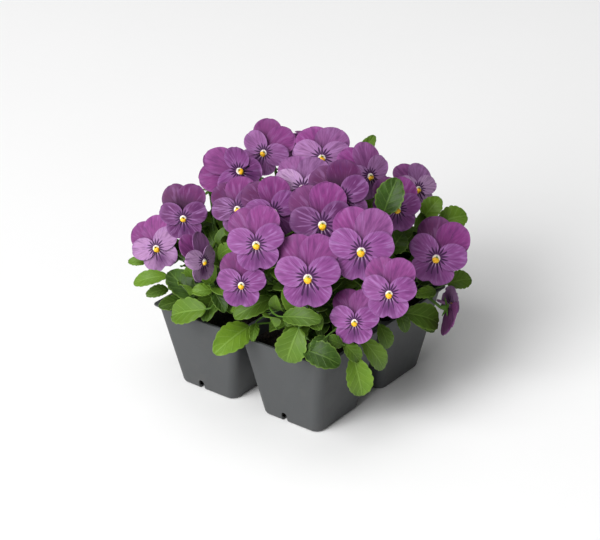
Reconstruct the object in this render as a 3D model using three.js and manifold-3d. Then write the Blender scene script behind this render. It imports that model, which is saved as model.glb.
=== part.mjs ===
// A four-cell pack of horned violets in flower: one thin plastic pack, a plug of potting soil in each
// cell, one leafy plant in each plug, and the blooms that stand on the plants' stalks.
// Millimetres, +Z up. The pack stands on Z = 0 with its centre on the Z axis.
import * as THREE from 'three';
import Module from 'manifold-3d';

const wasm = await Module();
wasm.setup();

// The pack.
const PITCH = 70; // from the middle of one cell to the next
const PACK_HEIGHT = 60;
const CELL_TOP = 68; // outer width of a cell under the flange
const CELL_BOTTOM = 46; // outer width of a cell at its foot
const CORNER_TOP = 6.5; // outer corner radius of a cell at its top
const CORNER_BOTTOM = 6;
const WALL = 1.2;
const FOOT_EDGE = { height: 2, depth: 1.2 }; // the eased edge round a cell's foot
const FLANGE_OUT = 1.5; // how far the flange reaches past the cells
const FLANGE_THICK = 1.2;
const FLANGE_CORNER = 3.5;
const CORNER_STEPS = 2; // flats in each rounded corner of a cell
// The drain slots in a cell's foot: their size, how far they reach in and stand out, and how far they lie
// to one side of the cell's middle.
const DRAIN = { width: 4.6, height: 7.2, deep: 16, beyond: 3, aside: 4, below: 1 };

// The soil and the plants' crowns.
const GAP = 0.3; // between pieces that touch
const SOIL_TOP = 52;
const SOIL_LUMP = 1.1;
const SOIL_MOUND = { share: 0.62, rise: 2.4 }; // the soil's lumpy top: its width and height over the edge
const DRAIN_ROOM = 1.5; // how far the soil keeps back from a drain slot
const CROWN = { radius: 5.4, taper: 0.8, foot: 44, top: 56, sides: 7, hole: 30 };

// The dense heart of each plant, which its leaves stand out of: height and radius of each ring.
const HEART = [[55.5, 7], [62, 15], [75, 18], [90, 16], [102, 8]];
const HEART_SIDES = 6;
const HEART_LUMP = 0.3; // of the radius

// Leaves, petals and stalks.
const BLADE = 0.7; // thickness of leaves and petals
const STALK_RADIUS = 1.1;
const STALK_STEPS = 4;
const STALK_SPAN = 88; // how far from the crown's middle the outermost stalks end, seen from above
const PETIOLE_RADIUS = 0.8;
const LARGE_TEETH = 3; // rounded teeth on each side of a leaf that shows, and of a small one
const SMALL_TEETH = 2;
const LARGE_LEAF = 13; // width from which a leaf that shows has the larger number of teeth
const TOOTH_DEPTH = 0.09; // of the leaf's half width
const LEAF_FOLD = 14; // degrees that each half of a leaf rises from its rib
const LEAF_PEAK = 0.5; // where along a leaf it is widest
const LEAF_FULLNESS = 0.62; // under one rounds a leaf's outline out
const LEAF_FACES = { outward: 0.55, up: 0.85 }; // which way a leaf's upper face looks
const FRONT_FACE = [-0.6, -0.5, 0.75]; // and which way that of a leaf that shows at the front looks
const STALK = { rise: 24, share: 0.4, spread: 0.12, bend: 0.6, hook: 4, low: 88 };
const ROOM = 1.2; // how far the foliage keeps from a neighbouring plant

// What leaves that are set by a rule keep clear of: the pack's edge and its top, the space behind and
// before a bloom, and beside its middle in bloom widths. The least distance lies between two leaves.
const CLEAR = { edge: 2, above: 3, behind: 9, before: 60, beside: 0.66, apart: 6 };

const CELLS = {
  front: [-1, -1],
  left: [-1, 1],
  right: [1, -1],
  back: [1, 1],
};

// Every bloom: the cell it grows from, where its throat is, the way it faces (azimuth 0 faces -Y and
// 90 faces +X, elevation is above level), how far its top leans to the right, how wide it is, and how
// far its upper and side petals fold back, in degrees.
const BLOOMS = [
  { cell: 'back', at: [10.9, 39.2, 149.5], faces: [-61, 22], roll: 27, width: 32, back: [8, 2] },
  { cell: 'right', at: [13, -7, 157], faces: [-53, 44], roll: 3, width: 38, back: [10, 4] },
  { cell: 'right', at: [25.2, -37, 147.8], faces: [-25, 22], roll: -12, width: 32, back: [12, 6] },
  { cell: 'left', at: [-24.2, 32.6, 149.8], faces: [-30, 46], roll: -62, width: 35, back: [8, 4] },
  { cell: 'front', at: [-23.1, -18.8, 151.4], faces: [-51, 44], roll: 8, width: 37, back: [8, 2] },
  { cell: 'front', at: [-19.6, -47.8, 151.1], faces: [-49, 30], roll: -18, width: 36, back: [6, 0] },
  { cell: 'front', at: [-40.9, -47.6, 141.1], faces: [-49, 28], roll: -8, width: 39, back: [8, 2] },
  { cell: 'front', at: [-50.8, -16.8, 144.5], faces: [-43, 32], roll: -14, width: 34, back: [8, 2] },
  { cell: 'left', at: [-57.7, 6.8, 142.5], faces: [-62, 34], roll: -24, width: 32, back: [10, 4] },
  { cell: 'left', at: [-59.1, 50.9, 124.3], faces: [-59, 14], roll: -4, width: 31, back: [8, 2] },
  { cell: 'left', at: [-55, 79.3, 92.7], faces: [-64, 28], roll: -30, width: 32, back: [8, 2] },
  { cell: 'left', at: [-87.5, 9.8, 116.2], faces: [0, 16], roll: 8, width: 27, back: [8, 8] },
  { cell: 'front', at: [-78.2, -24.6, 134.9], faces: [-57, 26], roll: -10, width: 35, back: [8, 2] },
  { cell: 'front', at: [-89.2, -21.4, 110.2], faces: [-56, 24], roll: 0, width: 30, back: [8, 2] },
  { cell: 'front', at: [-68, -57, 117.7], faces: [-53, 26], roll: 0, width: 40, back: [8, 2] },
  { cell: 'front', at: [-38.8, -76.3, 130.4], faces: [-53, 26], roll: 5, width: 40, back: [6, 0] },
  { cell: 'front', at: [-45.6, -102.5, 111.6], faces: [-57, 26], roll: 2, width: 33, back: [8, 4] },
  { cell: 'front', at: [-52.4, -81.6, 88], faces: [-57, 26], roll: 0, width: 30, back: [8, 2] },
  { cell: 'right', at: [29.5, -87.7, 102.2], faces: [-59, 22], roll: 16, width: 38, back: [14, 4] },
  { cell: 'right', at: [79, -39, 120], faces: [-27, 34], roll: 8, width: 29, back: [10, 4] },
  { cell: 'right', at: [16.7, -65, 135.2], faces: [-41, 26], roll: 4, width: 31, back: [8, 2] },
  { cell: 'right', at: [45.6, -92.1, 61], faces: [55, -12], roll: -116, width: 28, back: [6, 10] },
  { cell: 'back', at: [52, 16, 150], faces: [60, 50], roll: -10, width: 32, back: [8, 2] },
  { cell: 'back', at: [84, 22, 124], faces: [75, 30], roll: 6, width: 34, back: [8, 2] },
  { cell: 'back', at: [20, 82, 126], faces: [190, 32], roll: -8, width: 32, back: [8, 2] },
  { cell: 'back', at: [60, 62, 134], faces: [135, 36], roll: 4, width: 36, back: [8, 2] },
  { cell: 'back', at: [84, 68, 92], faces: [128, 16], roll: 0, width: 32, back: [8, 4] },
  { cell: 'right', at: [97, -12, 88], faces: [88, 12], roll: -6, width: 31, back: [8, 4] },
  { cell: 'left', at: [7, 111.5, 84], faces: [196, 14], roll: 6, width: 31, back: [8, 4] },
];

// A closed bloom, still furled.
const BUD = { cell: 'left', at: [-23.5, 57.5, 130], faces: [-60, 78], width: 13, length: 19, sides: 7 };
const BUD_SWELL = [[0, 0.3], [0.3, 1], [0.65, 0.8], [1, 0.15]]; // its half width along its length

// Petals, in bloom widths: length, width, where along it the width peaks, how its outline is rounded out
// (less than one is fuller), how far its end bends back in mm, where it starts beside the throat, its
// direction (90 is up, seen from the front) and how far it stands before the throat in mm.
const UPPER_ROWS = [0, 0.3, 0.68, 0.95]; // where along a petal its rows of points lie
const LOWER_ROWS = [0, 0.35, 0.88];
const UPPER = { length: 0.67, width: 0.61, peak: 0.58, full: 0.45, curl: 2.4, rows: UPPER_ROWS };
const SIDE = { length: 0.5, width: 0.47, peak: 0.5, full: 0.36, curl: 1.4, rows: LOWER_ROWS };
const LOWER = { length: 0.46, width: 0.75, peak: 0.48, full: 0.34, curl: 1.6, rows: LOWER_ROWS };
const PETALS = {
  upper_left: { ...UPPER, from: [-0.02, 0.03], angle: 113, layer: -4.2 },
  upper_right: { ...UPPER, from: [0.02, 0.03], angle: 67, layer: -2.9 },
  side_left: { ...SIDE, from: [-0.02, 0], angle: 160, layer: 0.2 },
  side_right: { ...SIDE, from: [0.02, 0], angle: 20, layer: 0.2 },
  lower: { ...LOWER, from: [0, 0.01], angle: 270, layer: -1.2 },
};
const LOWER_LEAN = 3; // degrees that the lower petal folds back
const LOWER_NOTCH = 0.1; // of the lower petal's length

// Leaves that stand where they show: base and tip of the blade, its width, and the height of its arch.
const PLACED_LEAVES = [
  { cell: 'left', from: [-77, 18, 75], to: [-81, 44, 64], width: 19, arch: 3 },
  { cell: 'left', from: [-74, 31, 77], to: [-71, 54, 89], width: 18, arch: 3 },
  { cell: 'left', from: [-63, 63, 80], to: [-75, 82, 73], width: 11, arch: 4 },
  { cell: 'left', from: [-57, 68, 66], to: [-71, 75, 65], width: 9, arch: 2 },
  { cell: 'left', from: [-53, 89, 78], to: [-60, 100, 78], width: 7, arch: 2 },
  { cell: 'left', from: [-62, 50, 65], to: [-79, 57, 65], width: 11, arch: 2 },
  { cell: 'left', from: [-71, 17, 87], to: [-80, 27, 86], width: 9, arch: 2 },
  { cell: 'front', from: [-65, -8, 66], to: [-96, -4, 58], width: 20, arch: 4 },
  { cell: 'front', from: [-61, -27, 92], to: [-82, -9, 80], width: 15, arch: 4 },
  { cell: 'front', from: [-77, -57, 86], to: [-83, -52, 63], width: 21, arch: 4 },
  { cell: 'front', from: [-79, -46, 91], to: [-71, -70, 93], width: 13, arch: 3 },
  { cell: 'front', from: [-80, -63, 74], to: [-73, -86, 68], width: 18, arch: 4 },
  { cell: 'front', from: [-69, -72, 81], to: [-80, -69, 74], width: 10, arch: 2 },
  { cell: 'front', from: [-57, -77, 73], to: [-50, -84, 60], width: 11, arch: 2 },
  { cell: 'front', from: [-51, -80, 62], to: [-49, -86, 35], width: 18, arch: 4 },
  { cell: 'front', from: [-40, -78, 70], to: [-26, -86, 44], width: 14, arch: 4 },
  { cell: 'front', from: [-17, -76, 69], to: [-15, -82, 53], width: 11, arch: 3 },
  { cell: 'right', from: [11, -77, 66], to: [34, -87.5, 52], width: 19, arch: 4 },
  { cell: 'right', from: [8, -73, 68], to: [8, -80, 54], width: 9, arch: 3 },
  { cell: 'right', from: [37, -83, 73], to: [22, -77, 74], width: 9, arch: 2 },
  { cell: 'right', from: [52, -82, 72], to: [66, -92, 73], width: 14, arch: 3 },
  { cell: 'right', from: [58, -58, 111], to: [68, -64, 124], width: 15, arch: 3 },
  { cell: 'right', from: [69, -62, 104], to: [86, -74, 107], width: 18, arch: 3 },
  { cell: 'right', from: [14, -62, 104], to: [24, -65, 115], width: 17, arch: 3 },
  { cell: 'front', from: [-1, -66, 138], to: [10, -69, 160], width: 19, arch: 3 },
  { cell: 'right', from: [50, -9, 140], to: [64, -13, 157], width: 10, arch: 3 },
  { cell: 'front', from: [-36, -55, 95], to: [-26, -66, 102], width: 11, arch: 3 },
  { cell: 'front', from: [-60, -78, 73.5], to: [-68, -70, 78.7], width: 9, arch: 2 },
  { cell: 'left', from: [-69, 18, 85], to: [-72, 6, 75], width: 10, arch: 2 },
  { cell: 'front', from: [-64, -12, 69], to: [-74.5, -18, 62.5], width: 7, arch: 2 },
  { cell: 'right', from: [15, -75, 63], to: [31, -87, 47], width: 9, arch: 2 },
];
const LEAVES_PER_STALK = { front: 1, left: 1, right: 1, back: 1 };
const LEAF_TRIES = 9;
const LEAF_LENGTHS = [22, 29];
const LEAF_WIDTHS = [15, 19];
const LEAF_PETIOLE = 7;

// Leaves set round the stalks: where along a stalk, how steeply they rise and how far each further try
// is turned down, how their tips droop and how far out those may reach.
const STALK_LEAF = { low: 0.36, span: 0.4, rise: 0.35, fall: 0.15, droop: 4, arch: 3, step: 3, reach: 90 };

// Leaves that reach out over the rim on the hidden sides: their directions from each crown, in degrees
// from +X, how far out their bases and tips are, and their heights.
const RIM_LEAVES = {
  front: [],
  left: [75, 100, 125],
  right: [-15, 10, 35, 60],
  back: [-5, 20, 45, 70, 92],
};
const HEART_LEAVES = 4; // tried round each plant's heart, from its rim up to its top
const AROUND = { middle: 78, root: 10, base: 19, tip: 45, lowest: -0.32, highest: 0.95 };
const AROUND_LEAF = { turn: 0.7, droop: 5, arch: 4 };
const RIM = { base: 40, tip: 64, low: 70, high: 80, fall: 12, width: 18, step: 7, arch: 5 };

const GOLDEN_TURN = Math.PI * (3 - Math.sqrt(5));
const vec = (p) => new THREE.Vector3(...p);
const radians = THREE.MathUtils.degToRad;
const mix = THREE.MathUtils.lerp;

// An even spread of numbers from 0 to 1, the same every time.
const spread = (index, lane) => (index * 0.6180339887 + lane * 0.7548776662) % 1;

const colour = (hex, roughness) => new THREE.MeshStandardMaterial({ color: hex, roughness, metalness: 0 });
const MATERIALS = {
  plastic: colour(0x3b3d3f, 0.42),
  soil: colour(0x1c1511, 0.95),
  leaf: colour(0x4f7f25, 0.55),
  petal: colour(0x9a56a6, 0.6),
};

// Closed solids from points

function geometryOf(points, faces) {
  const geometry = new THREE.BufferGeometry();
  const flat = points.flatMap((p) => [p.x, p.y, p.z]);
  geometry.setAttribute('position', new THREE.Float32BufferAttribute(flat, 3));
  geometry.setIndex(faces.flat());
  return geometry;
}

// Triangles between two rows that start at points a and b, with m and n points of one width.
function strip(a, m, b, n) {
  const faces = [];
  let [i, k] = [0, 0];
  while (i < m - 1 || k < n - 1) {
    const stepFirst = k === n - 1 || (i < m - 1 && (i + 1) * (n - 1) <= (k + 1) * (m - 1));
    if (stepFirst) {
      faces.push([a + i, a + i + 1, b + k]);
      i += 1;
    } else {
      faces.push([a + i, b + k + 1, b + k]);
      k += 1;
    }
  }
  return faces;
}

const START_OF_NEXT = 100000; // marks the second row's points while two rings are joined

// Rings of points, each joined to the next and closed at both ends.
function loft(rings) {
  const starts = rings.map((_, r) => rings.slice(0, r).flat().length);
  const faces = [];
  for (let r = 0; r + 1 < rings.length; r += 1) {
    const [m, n] = [rings[r].length, rings[r + 1].length];
    const round = (index, level, count) => starts[level] + ((index - starts[level]) % count);
    const closed = strip(starts[r], m > 1 ? m + 1 : 1, START_OF_NEXT, n > 1 ? n + 1 : 1);
    faces.push(...closed.map((face) => face.map((index) => (
      index < START_OF_NEXT
        ? round(index, r, m)
        : round(index - START_OF_NEXT + starts[r + 1], r + 1, n)
    ))));
  }
  const last = rings.length - 1;
  for (let i = 1; i + 1 < rings[0].length; i += 1) faces.push([0, i + 1, i]);
  for (let i = 1; i + 1 < rings[last].length; i += 1) {
    faces.push([starts[last], starts[last] + i, starts[last] + i + 1]);
  }
  return geometryOf(rings.flat(), faces);
}

// A thin blade over rows of points. Both faces are split alike, so that they never cross.
function blade(rows, thickness) {
  const middle = rows.flat();
  const starts = rows.map((_, r) => rows.slice(0, r).flat().length);
  const join = (row, r) => strip(starts[r], rows[r].length, starts[r + 1], row.length);
  const faces = rows.slice(1).flatMap(join);
  const normals = middle.map(() => new THREE.Vector3());
  const edges = new Map();
  for (const [a, b, c] of faces) {
    const across = middle[b].clone().sub(middle[a]).cross(middle[c].clone().sub(middle[a]));
    for (const i of [a, b, c]) normals[i].add(across);
    for (const [i, j] of [[a, b], [b, c], [c, a]]) {
      if (!edges.delete(`${j},${i}`)) edges.set(`${i},${j}`, [i, j]);
    }
  }
  const half = normals.map((n) => n.normalize().multiplyScalar(thickness / 2));
  const points = middle.map((p, i) => p.clone().add(half[i]));
  points.push(...middle.map((p, i) => p.clone().sub(half[i])));
  const under = middle.length;
  const shell = faces.flatMap(([a, b, c]) => [[a, b, c], [under + a, under + c, under + b]]);
  for (const [i, j] of edges.values()) shell.push([j, i, under + i], [j, under + i, under + j]);
  return geometryOf(points, shell);
}

function solid(geometry) {
  const vertProperties = new Float32Array(geometry.attributes.position.array);
  const triVerts = new Uint32Array(geometry.index.array);
  const made = new wasm.Manifold(new wasm.Mesh({ numProp: 3, vertProperties, triVerts }));
  if (made.volume() <= 0) throw new Error('a solid is inside out');
  return made;
}

const union = (solids) => wasm.Manifold.union(solids);

// The largest body of a union, without the scraps that a cut can leave.
function mainBody(made) {
  return made.decompose().sort((a, b) => b.volume() - a.volume())[0];
}

function meshOf(made, name, material) {
  const { vertProperties, triVerts } = mainBody(made).getMesh();
  const geometry = new THREE.BufferGeometry();
  geometry.setAttribute('position', new THREE.BufferAttribute(vertProperties, 3));
  geometry.setIndex(new THREE.BufferAttribute(triVerts, 1));
  geometry.computeVertexNormals();
  const mesh = new THREE.Mesh(geometry, material);
  mesh.name = name;
  return mesh;
}

// Rings round a curve, the last of them turned as the given direction.
function tubeRings(curve, steps, radius, sides, direction) {
  const rings = [];
  let across = direction.clone();
  for (let s = steps; s >= 0; s -= 1) {
    const centre = curve.getPointAt(s / steps);
    const tangent = curve.getTangentAt(s / steps);
    across = across.addScaledVector(tangent, -across.dot(tangent)).normalize();
    const above = tangent.clone().cross(across);
    rings.unshift(Array.from({ length: sides }, (_, i) => {
      const turn = (2 * Math.PI * i) / sides;
      const out = across.clone().multiplyScalar(Math.cos(turn)).addScaledVector(above, Math.sin(turn));
      return centre.clone().addScaledVector(out, radius);
    }));
  }
  return rings;
}

// The pack: four tapered cells hanging from one flange

function roundedSquare(x, y, width, radius, z, steps) {
  const ring = [];
  const inset = width / 2 - radius;
  for (let corner = 0; corner < 4; corner += 1) {
    for (let i = 0; i <= steps; i += 1) {
      const turn = ((corner + i / steps) * Math.PI) / 2;
      const cornerX = corner === 0 || corner === 3 ? inset : -inset;
      const cornerY = corner < 2 ? inset : -inset;
      const px = x + cornerX + radius * Math.cos(turn);
      const py = y + cornerY + radius * Math.sin(turn);
      ring.push(new THREE.Vector3(px, py, z));
    }
  }
  return ring;
}

// The width of a cell's outside, and of its corners, at a height.
function cellAt(z) {
  const share = z / PACK_HEIGHT;
  return [mix(CELL_BOTTOM, CELL_TOP, share), mix(CORNER_BOTTOM, CORNER_TOP, share)];
}

// A tapered body inside a cell's outline, held back from it by an inset.
function cellBody(x, y, inset, levels) {
  return solid(loft(levels.map(([z, eased]) => {
    const [width, corner] = cellAt(z);
    const back = inset + eased;
    return roundedSquare(x, y, width - 2 * back, corner - back, z, CORNER_STEPS);
  })));
}

function slab(width, corner, bottom, top) {
  const ring = (z) => roundedSquare(0, 0, width, corner, z, CORNER_STEPS);
  return solid(loft([ring(bottom), ring(top)]));
}

// An arched bar through the wall and floor on both sides of a cell's foot, where the water drains.
function drains(x, y, room) {
  const half = DRAIN.width / 2 + room;
  const height = DRAIN.height + room;
  const arch = new THREE.Shape();
  arch.moveTo(-half, -DRAIN.below);
  arch.lineTo(half, -DRAIN.below);
  arch.lineTo(half, height - half);
  arch.quadraticCurveTo(half * 0.8, height, 0, height);
  arch.quadraticCurveTo(-half * 0.8, height, -half, height - half);
  arch.closePath();
  const long = DRAIN.deep + DRAIN.beyond + room;
  return [-1, 1].map((side) => {
    const bar = new THREE.ExtrudeGeometry(arch, { depth: long, bevelEnabled: false, curveSegments: 2 });
    bar.rotateX(Math.PI / 2);
    bar.rotateZ(Math.PI / 2);
    const outside = CELL_BOTTOM / 2 + DRAIN.beyond;
    bar.translate(x + (side > 0 ? outside - long : -outside), y + DRAIN.aside, 0);
    return solid(merged(bar));
  });
}

// An extrusion with its shared corners joined.
function merged(geometry) {
  const { array } = geometry.attributes.position;
  const seen = new Map();
  const points = [];
  const index = [];
  for (let i = 0; i < array.length; i += 3) {
    const key = [0, 1, 2].map((k) => array[i + k].toFixed(3)).join();
    if (!seen.has(key)) {
      seen.set(key, points.length);
      points.push(new THREE.Vector3(array[i], array[i + 1], array[i + 2]));
    }
    index.push(seen.get(key));
  }
  const faces = [];
  for (let i = 0; i < index.length; i += 3) faces.push(index.slice(i, i + 3));
  return geometryOf(points, faces.filter(([a, b, c]) => a !== b && b !== c && c !== a));
}

const middleOf = (cell) => CELLS[cell].map((sign) => (sign * PITCH) / 2);

function packSolid() {
  const cells = Object.keys(CELLS).map(middleOf);
  const across = PITCH + CELL_TOP + 2 * FLANGE_OUT;
  const flange = slab(across, FLANGE_CORNER, PACK_HEIGHT - FLANGE_THICK, PACK_HEIGHT);
  const outside = [[0, FOOT_EDGE.depth], [FOOT_EDGE.height, 0], [PACK_HEIGHT, 0]];
  const inside = [[WALL, FOOT_EDGE.depth / 2], [PACK_HEIGHT + 1, 0]];
  const outsides = cells.map(([x, y]) => cellBody(x, y, 0, outside));
  const insides = cells.map(([x, y]) => cellBody(x, y, WALL, inside));
  const slots = cells.flatMap(([x, y]) => drains(x, y, 0));
  return union([flange, ...outsides]).subtract(union([...insides, ...slots]));
}

// Soil: a plug that fills a cell, lumpy on top, with a plain hole for the plant's crown

function soilSolid(cell) {
  const [x, y] = middleOf(cell);
  const inset = WALL + GAP;
  const ring = (z, eased) => {
    const [width, corner] = cellAt(z);
    return roundedSquare(x, y, width - 2 * (inset + eased), corner - inset, z, CORNER_STEPS);
  };
  const edge = ring(SOIL_TOP, 0);
  const lumpy = (share, lane) => edge.map((p, i) => new THREE.Vector3(
    mix(x, p.x, share),
    mix(y, p.y, share),
    SOIL_TOP + (1 - share) * SOIL_MOUND.rise + SOIL_LUMP * (spread(i, lane) - 0.5),
  ));
  const body = solid(loft([ring(inset, FOOT_EDGE.depth / 2), edge, lumpy(SOIL_MOUND.share, 1)]));
  const crown = new THREE.CylinderGeometry(CROWN.radius + GAP, CROWN.radius + GAP, CROWN.hole, CROWN.sides);
  crown.rotateX(Math.PI / 2).translate(x, y, CROWN.foot - GAP + CROWN.hole / 2);
  return body.subtract(union([...drains(x, y, DRAIN_ROOM), solid(merged(crown.toNonIndexed()))]));
}

// Blooms

// The axes of something that faces an azimuth and elevation, with its top leaning over by roll.
function facing([azimuth, elevation], roll) {
  const [a, e, r] = [azimuth, elevation, roll].map(radians);
  const out = vec([Math.sin(a) * Math.cos(e), -Math.cos(a) * Math.cos(e), Math.sin(e)]);
  const level = vec([Math.cos(a), Math.sin(a), 0]);
  const upright = out.clone().cross(level);
  const right = level.clone().multiplyScalar(Math.cos(r)).addScaledVector(upright, -Math.sin(r));
  const up = upright.clone().multiplyScalar(Math.cos(r)).addScaledVector(level, Math.sin(r));
  return { right, up, out };
}

// Half the width of a petal or leaf along its length, as a share of its widest half.
function profile(u, peak, fullness) {
  return Math.sin(Math.PI * u ** (Math.log(0.5) / Math.log(peak))) ** fullness;
}

// A point x to the right of a flower's throat, y above it and z before it.
function placeOn(flower, axes, x, y, z) {
  const { right, up, out } = axes;
  return vec(flower.at).addScaledVector(right, x).addScaledVector(up, y).addScaledVector(out, z);
}

// A point of a petal: along runs from its base to its tip, across from one edge to the other.
function petalPoint(bloom, axes, key, along, across) {
  const petal = PETALS[key];
  const { width } = bloom;
  const lean = radians({ upper: bloom.back[0], side: bloom.back[1], lower: LOWER_LEAN }[key.split('_')[0]]);
  const turn = radians(petal.angle);
  const half = (profile(along, petal.peak, petal.full) * petal.width * width) / 2;
  const notch = key === 'lower' ? LOWER_NOTCH * (Math.abs(across) - 0.5) * along : 0;
  const reach = petal.length * width * (along + notch);
  const side = half * across;
  const flat = reach * Math.cos(lean);
  const x = petal.from[0] * width + flat * Math.cos(turn) - side * Math.sin(turn);
  const y = petal.from[1] * width + flat * Math.sin(turn) + side * Math.cos(turn);
  const z = petal.layer - reach * Math.sin(lean) - petal.curl * along ** 3;
  return placeOn(bloom, axes, x, y, z);
}

function petalSolid(bloom, axes, key) {
  const across = key === 'lower' ? [1, 0, -1] : [1, -1];
  const rows = PETALS[key].rows.map((along) => (
    (along ? across : [0]).map((side) => petalPoint(bloom, axes, key, along, side))
  ));
  return solid(blade(rows, BLADE));
}

// A ring of points round the bloom's own axis.
function bloomRing(bloom, axes, x, y, z, radius, sides) {
  return Array.from({ length: sides }, (_, i) => {
    const turn = (2 * Math.PI * i) / sides;
    return placeOn(bloom, axes, x + radius * Math.cos(turn), y + radius * Math.sin(turn), z);
  });
}

const THROAT = { radius: 2.2, front: 1.5, back: -4.7, sides: 3 };
const SPUR = { radius: 1.1, start: [-2.2, -5.6], end: [-4.6, -10.5] }; // up and out, from the throat
const NARROW = { spur: 0.7, throat: 0.8 }; // the radius at the spur's end, and at the throat's front

function bloomSolid(bloom) {
  const axes = facing(bloom.faces, bloom.roll);
  const ring = (y, z, radius) => bloomRing(bloom, axes, 0, y, z, radius, THROAT.sides);
  const throat = [
    ring(...SPUR.end, SPUR.radius * NARROW.spur),
    ring(...SPUR.start, SPUR.radius),
    ring(0, THROAT.back, THROAT.radius),
    ring(0, THROAT.front, THROAT.radius * NARROW.throat),
  ];
  const petals = Object.keys(PETALS).map((key) => petalSolid(bloom, axes, key));
  return union([solid(loft(throat)), ...petals]);
}

// The furled bloom: a slim body, widest below its middle.
function budSolid() {
  const axes = facing(BUD.faces, 0);
  const rings = BUD_SWELL.map(([share, swell]) => (
    bloomRing(BUD, axes, 0, 0, BUD.length * share, (BUD.width / 2) * swell, BUD.sides)
  ));
  return solid(loft(rings));
}

// Stalks and calyxes

const CALYX = { lift: 1.2, front: -5, tip: 5.2, notch: 1.3, back: -10.3, lean: 12 };

// A stalk that opens into the green star behind a bloom.
function stalkSolid(flower, axes, curve, front, lift) {
  const fold = Math.tan(radians(CALYX.lean + Math.max(0, (flower.back?.[0] ?? 0) - 8)));
  const star = Array.from({ length: 10 }, (_, i) => {
    const turn = (Math.PI * i) / 5 + Math.PI / 10;
    const reach = i % 2 ? CALYX.notch : CALYX.tip;
    const [x, y, z] = [reach * Math.cos(turn), lift + reach * Math.sin(turn), front - reach * fold];
    return placeOn(flower, axes, x, y, z);
  });
  const centre = [placeOn(flower, axes, 0, lift, front)];
  return solid(loft([...tubeRings(curve, STALK_STEPS, STALK_RADIUS, 3, axes.right), star, centre]));
}

function heartSolid(cell, index) {
  const [x, y] = middleOf(cell);
  const rings = HEART.map(([z, radius], level) => Array.from({ length: HEART_SIDES }, (_, i) => {
    const turn = (2 * Math.PI * (i + level / 2)) / HEART_SIDES;
    const reach = radius * (1 - HEART_LUMP * spread(i + HEART_SIDES * level, index));
    return new THREE.Vector3(x + reach * Math.cos(turn), y + reach * Math.sin(turn), z);
  }));
  return solid(loft(rings));
}

// True where a point lies inside a plant's heart.
function inHeart(p, cell) {
  const [x, y] = middleOf(cell);
  const level = HEART.findIndex(([z]) => z > p.z);
  if (level < 1) return false;
  const [[z0, r0], [z1, r1]] = [HEART[level - 1], HEART[level]];
  return Math.hypot(p.x - x, p.y - y) < mix(r0, r1, (p.z - z0) / (z1 - z0));
}

function crownSolid(cell) {
  const [x, y] = middleOf(cell);
  const height = CROWN.top - CROWN.foot;
  const crown = new THREE.CylinderGeometry(CROWN.radius * CROWN.taper, CROWN.radius, height, CROWN.sides);
  crown.rotateX(Math.PI / 2).translate(x, y, CROWN.foot + height / 2);
  return solid(merged(crown.toNonIndexed()));
}

// A curve that rises from the crown and bends over to a point that it meets from a direction. The
// curves start in the crown as their ends lie round it, so that they spread without crossing.
function stemCurve(cell, to, along, rise, hook) {
  const [x, y] = middleOf(cell);
  const spreadOut = new THREE.Vector3(to.x - x, to.y - y, 0);
  const start = new THREE.Vector3(x, y, CROWN.top - 2).addScaledVector(spreadOut, CROWN.radius / STALK_SPAN);
  const climb = start.clone().addScaledVector(spreadOut, STALK.spread).add(new THREE.Vector3(0, 0, rise));
  const bend = to.clone().addScaledVector(along, -rise * STALK.bend).add(new THREE.Vector3(0, 0, hook));
  return new THREE.CubicBezierCurve3(start, climb, bend, to);
}

function stalkOf(flower, axes, back, lift) {
  const end = placeOn(flower, axes, 0, lift, back);
  const rise = Math.max(STALK.rise, (end.z - SOIL_TOP) * STALK.share);
  const hook = Math.max(STALK.hook, (STALK.low - end.z) / 2);
  return stemCurve(flower.cell, end, axes.out, rise, hook);
}

// Leaves

// A point of a leaf: an arched rib from base to tip, with both halves rising from it.
function leafPoint(leaf, along, across) {
  const [from, to] = [vec(leaf.from), vec(leaf.to)];
  const axis = to.clone().sub(from);
  const [x, y] = middleOf(leaf.cell);
  const outward = new THREE.Vector3(from.x - x, from.y - y, 0).normalize();
  const upward = outward.multiplyScalar(LEAF_FACES.outward).add(new THREE.Vector3(0, 0, LEAF_FACES.up));
  const hint = leaf.faces ? vec(leaf.faces) : upward;
  const side = hint.clone().cross(axis).normalize();
  const lift = axis.clone().cross(side).normalize();
  const tooth = 1 - TOOTH_DEPTH * (1 - Math.cos(2 * Math.PI * leaf.teeth * along));
  const half = (leaf.width / 2) * profile(along, LEAF_PEAK, LEAF_FULLNESS) * tooth * Math.abs(across);
  const fold = radians(LEAF_FOLD);
  return from.clone()
    .addScaledVector(axis, along)
    .addScaledVector(lift, leaf.arch * 4 * along * (1 - along) + half * Math.sin(fold))
    .addScaledVector(side, Math.sign(across) * half * Math.cos(fold));
}

// A leaf and its petiole: one blade, from inside the stalk that it grows from to its tip.
function leafSolid(leaf) {
  const steps = 2 * leaf.teeth;
  const rows = [];
  for (let s = 1; s <= steps; s += 1) {
    const sides = s === steps ? [0] : [1, 0, -1];
    rows.push(sides.map((across) => leafPoint(leaf, s / steps, across)));
  }
  const [left, , right] = rows[0];
  const across = left.clone().sub(right).normalize();
  for (const place of [leafPoint(leaf, 0, 0), leaf.root]) {
    const edges = [PETIOLE_RADIUS, -PETIOLE_RADIUS];
    rows.unshift(edges.map((side) => place.clone().addScaledVector(across, side)));
  }
  return solid(blade(rows, BLADE));
}

const ROOT_SHARES = [0.15, 0.25, 0.35, 0.45, 0.55, 0.65, 0.75, 0.85]; // along a stalk
const ROOT_COST = { ahead: 0.6, above: 0.5 }; // less for a root that a leaf points away from, more above it

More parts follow.
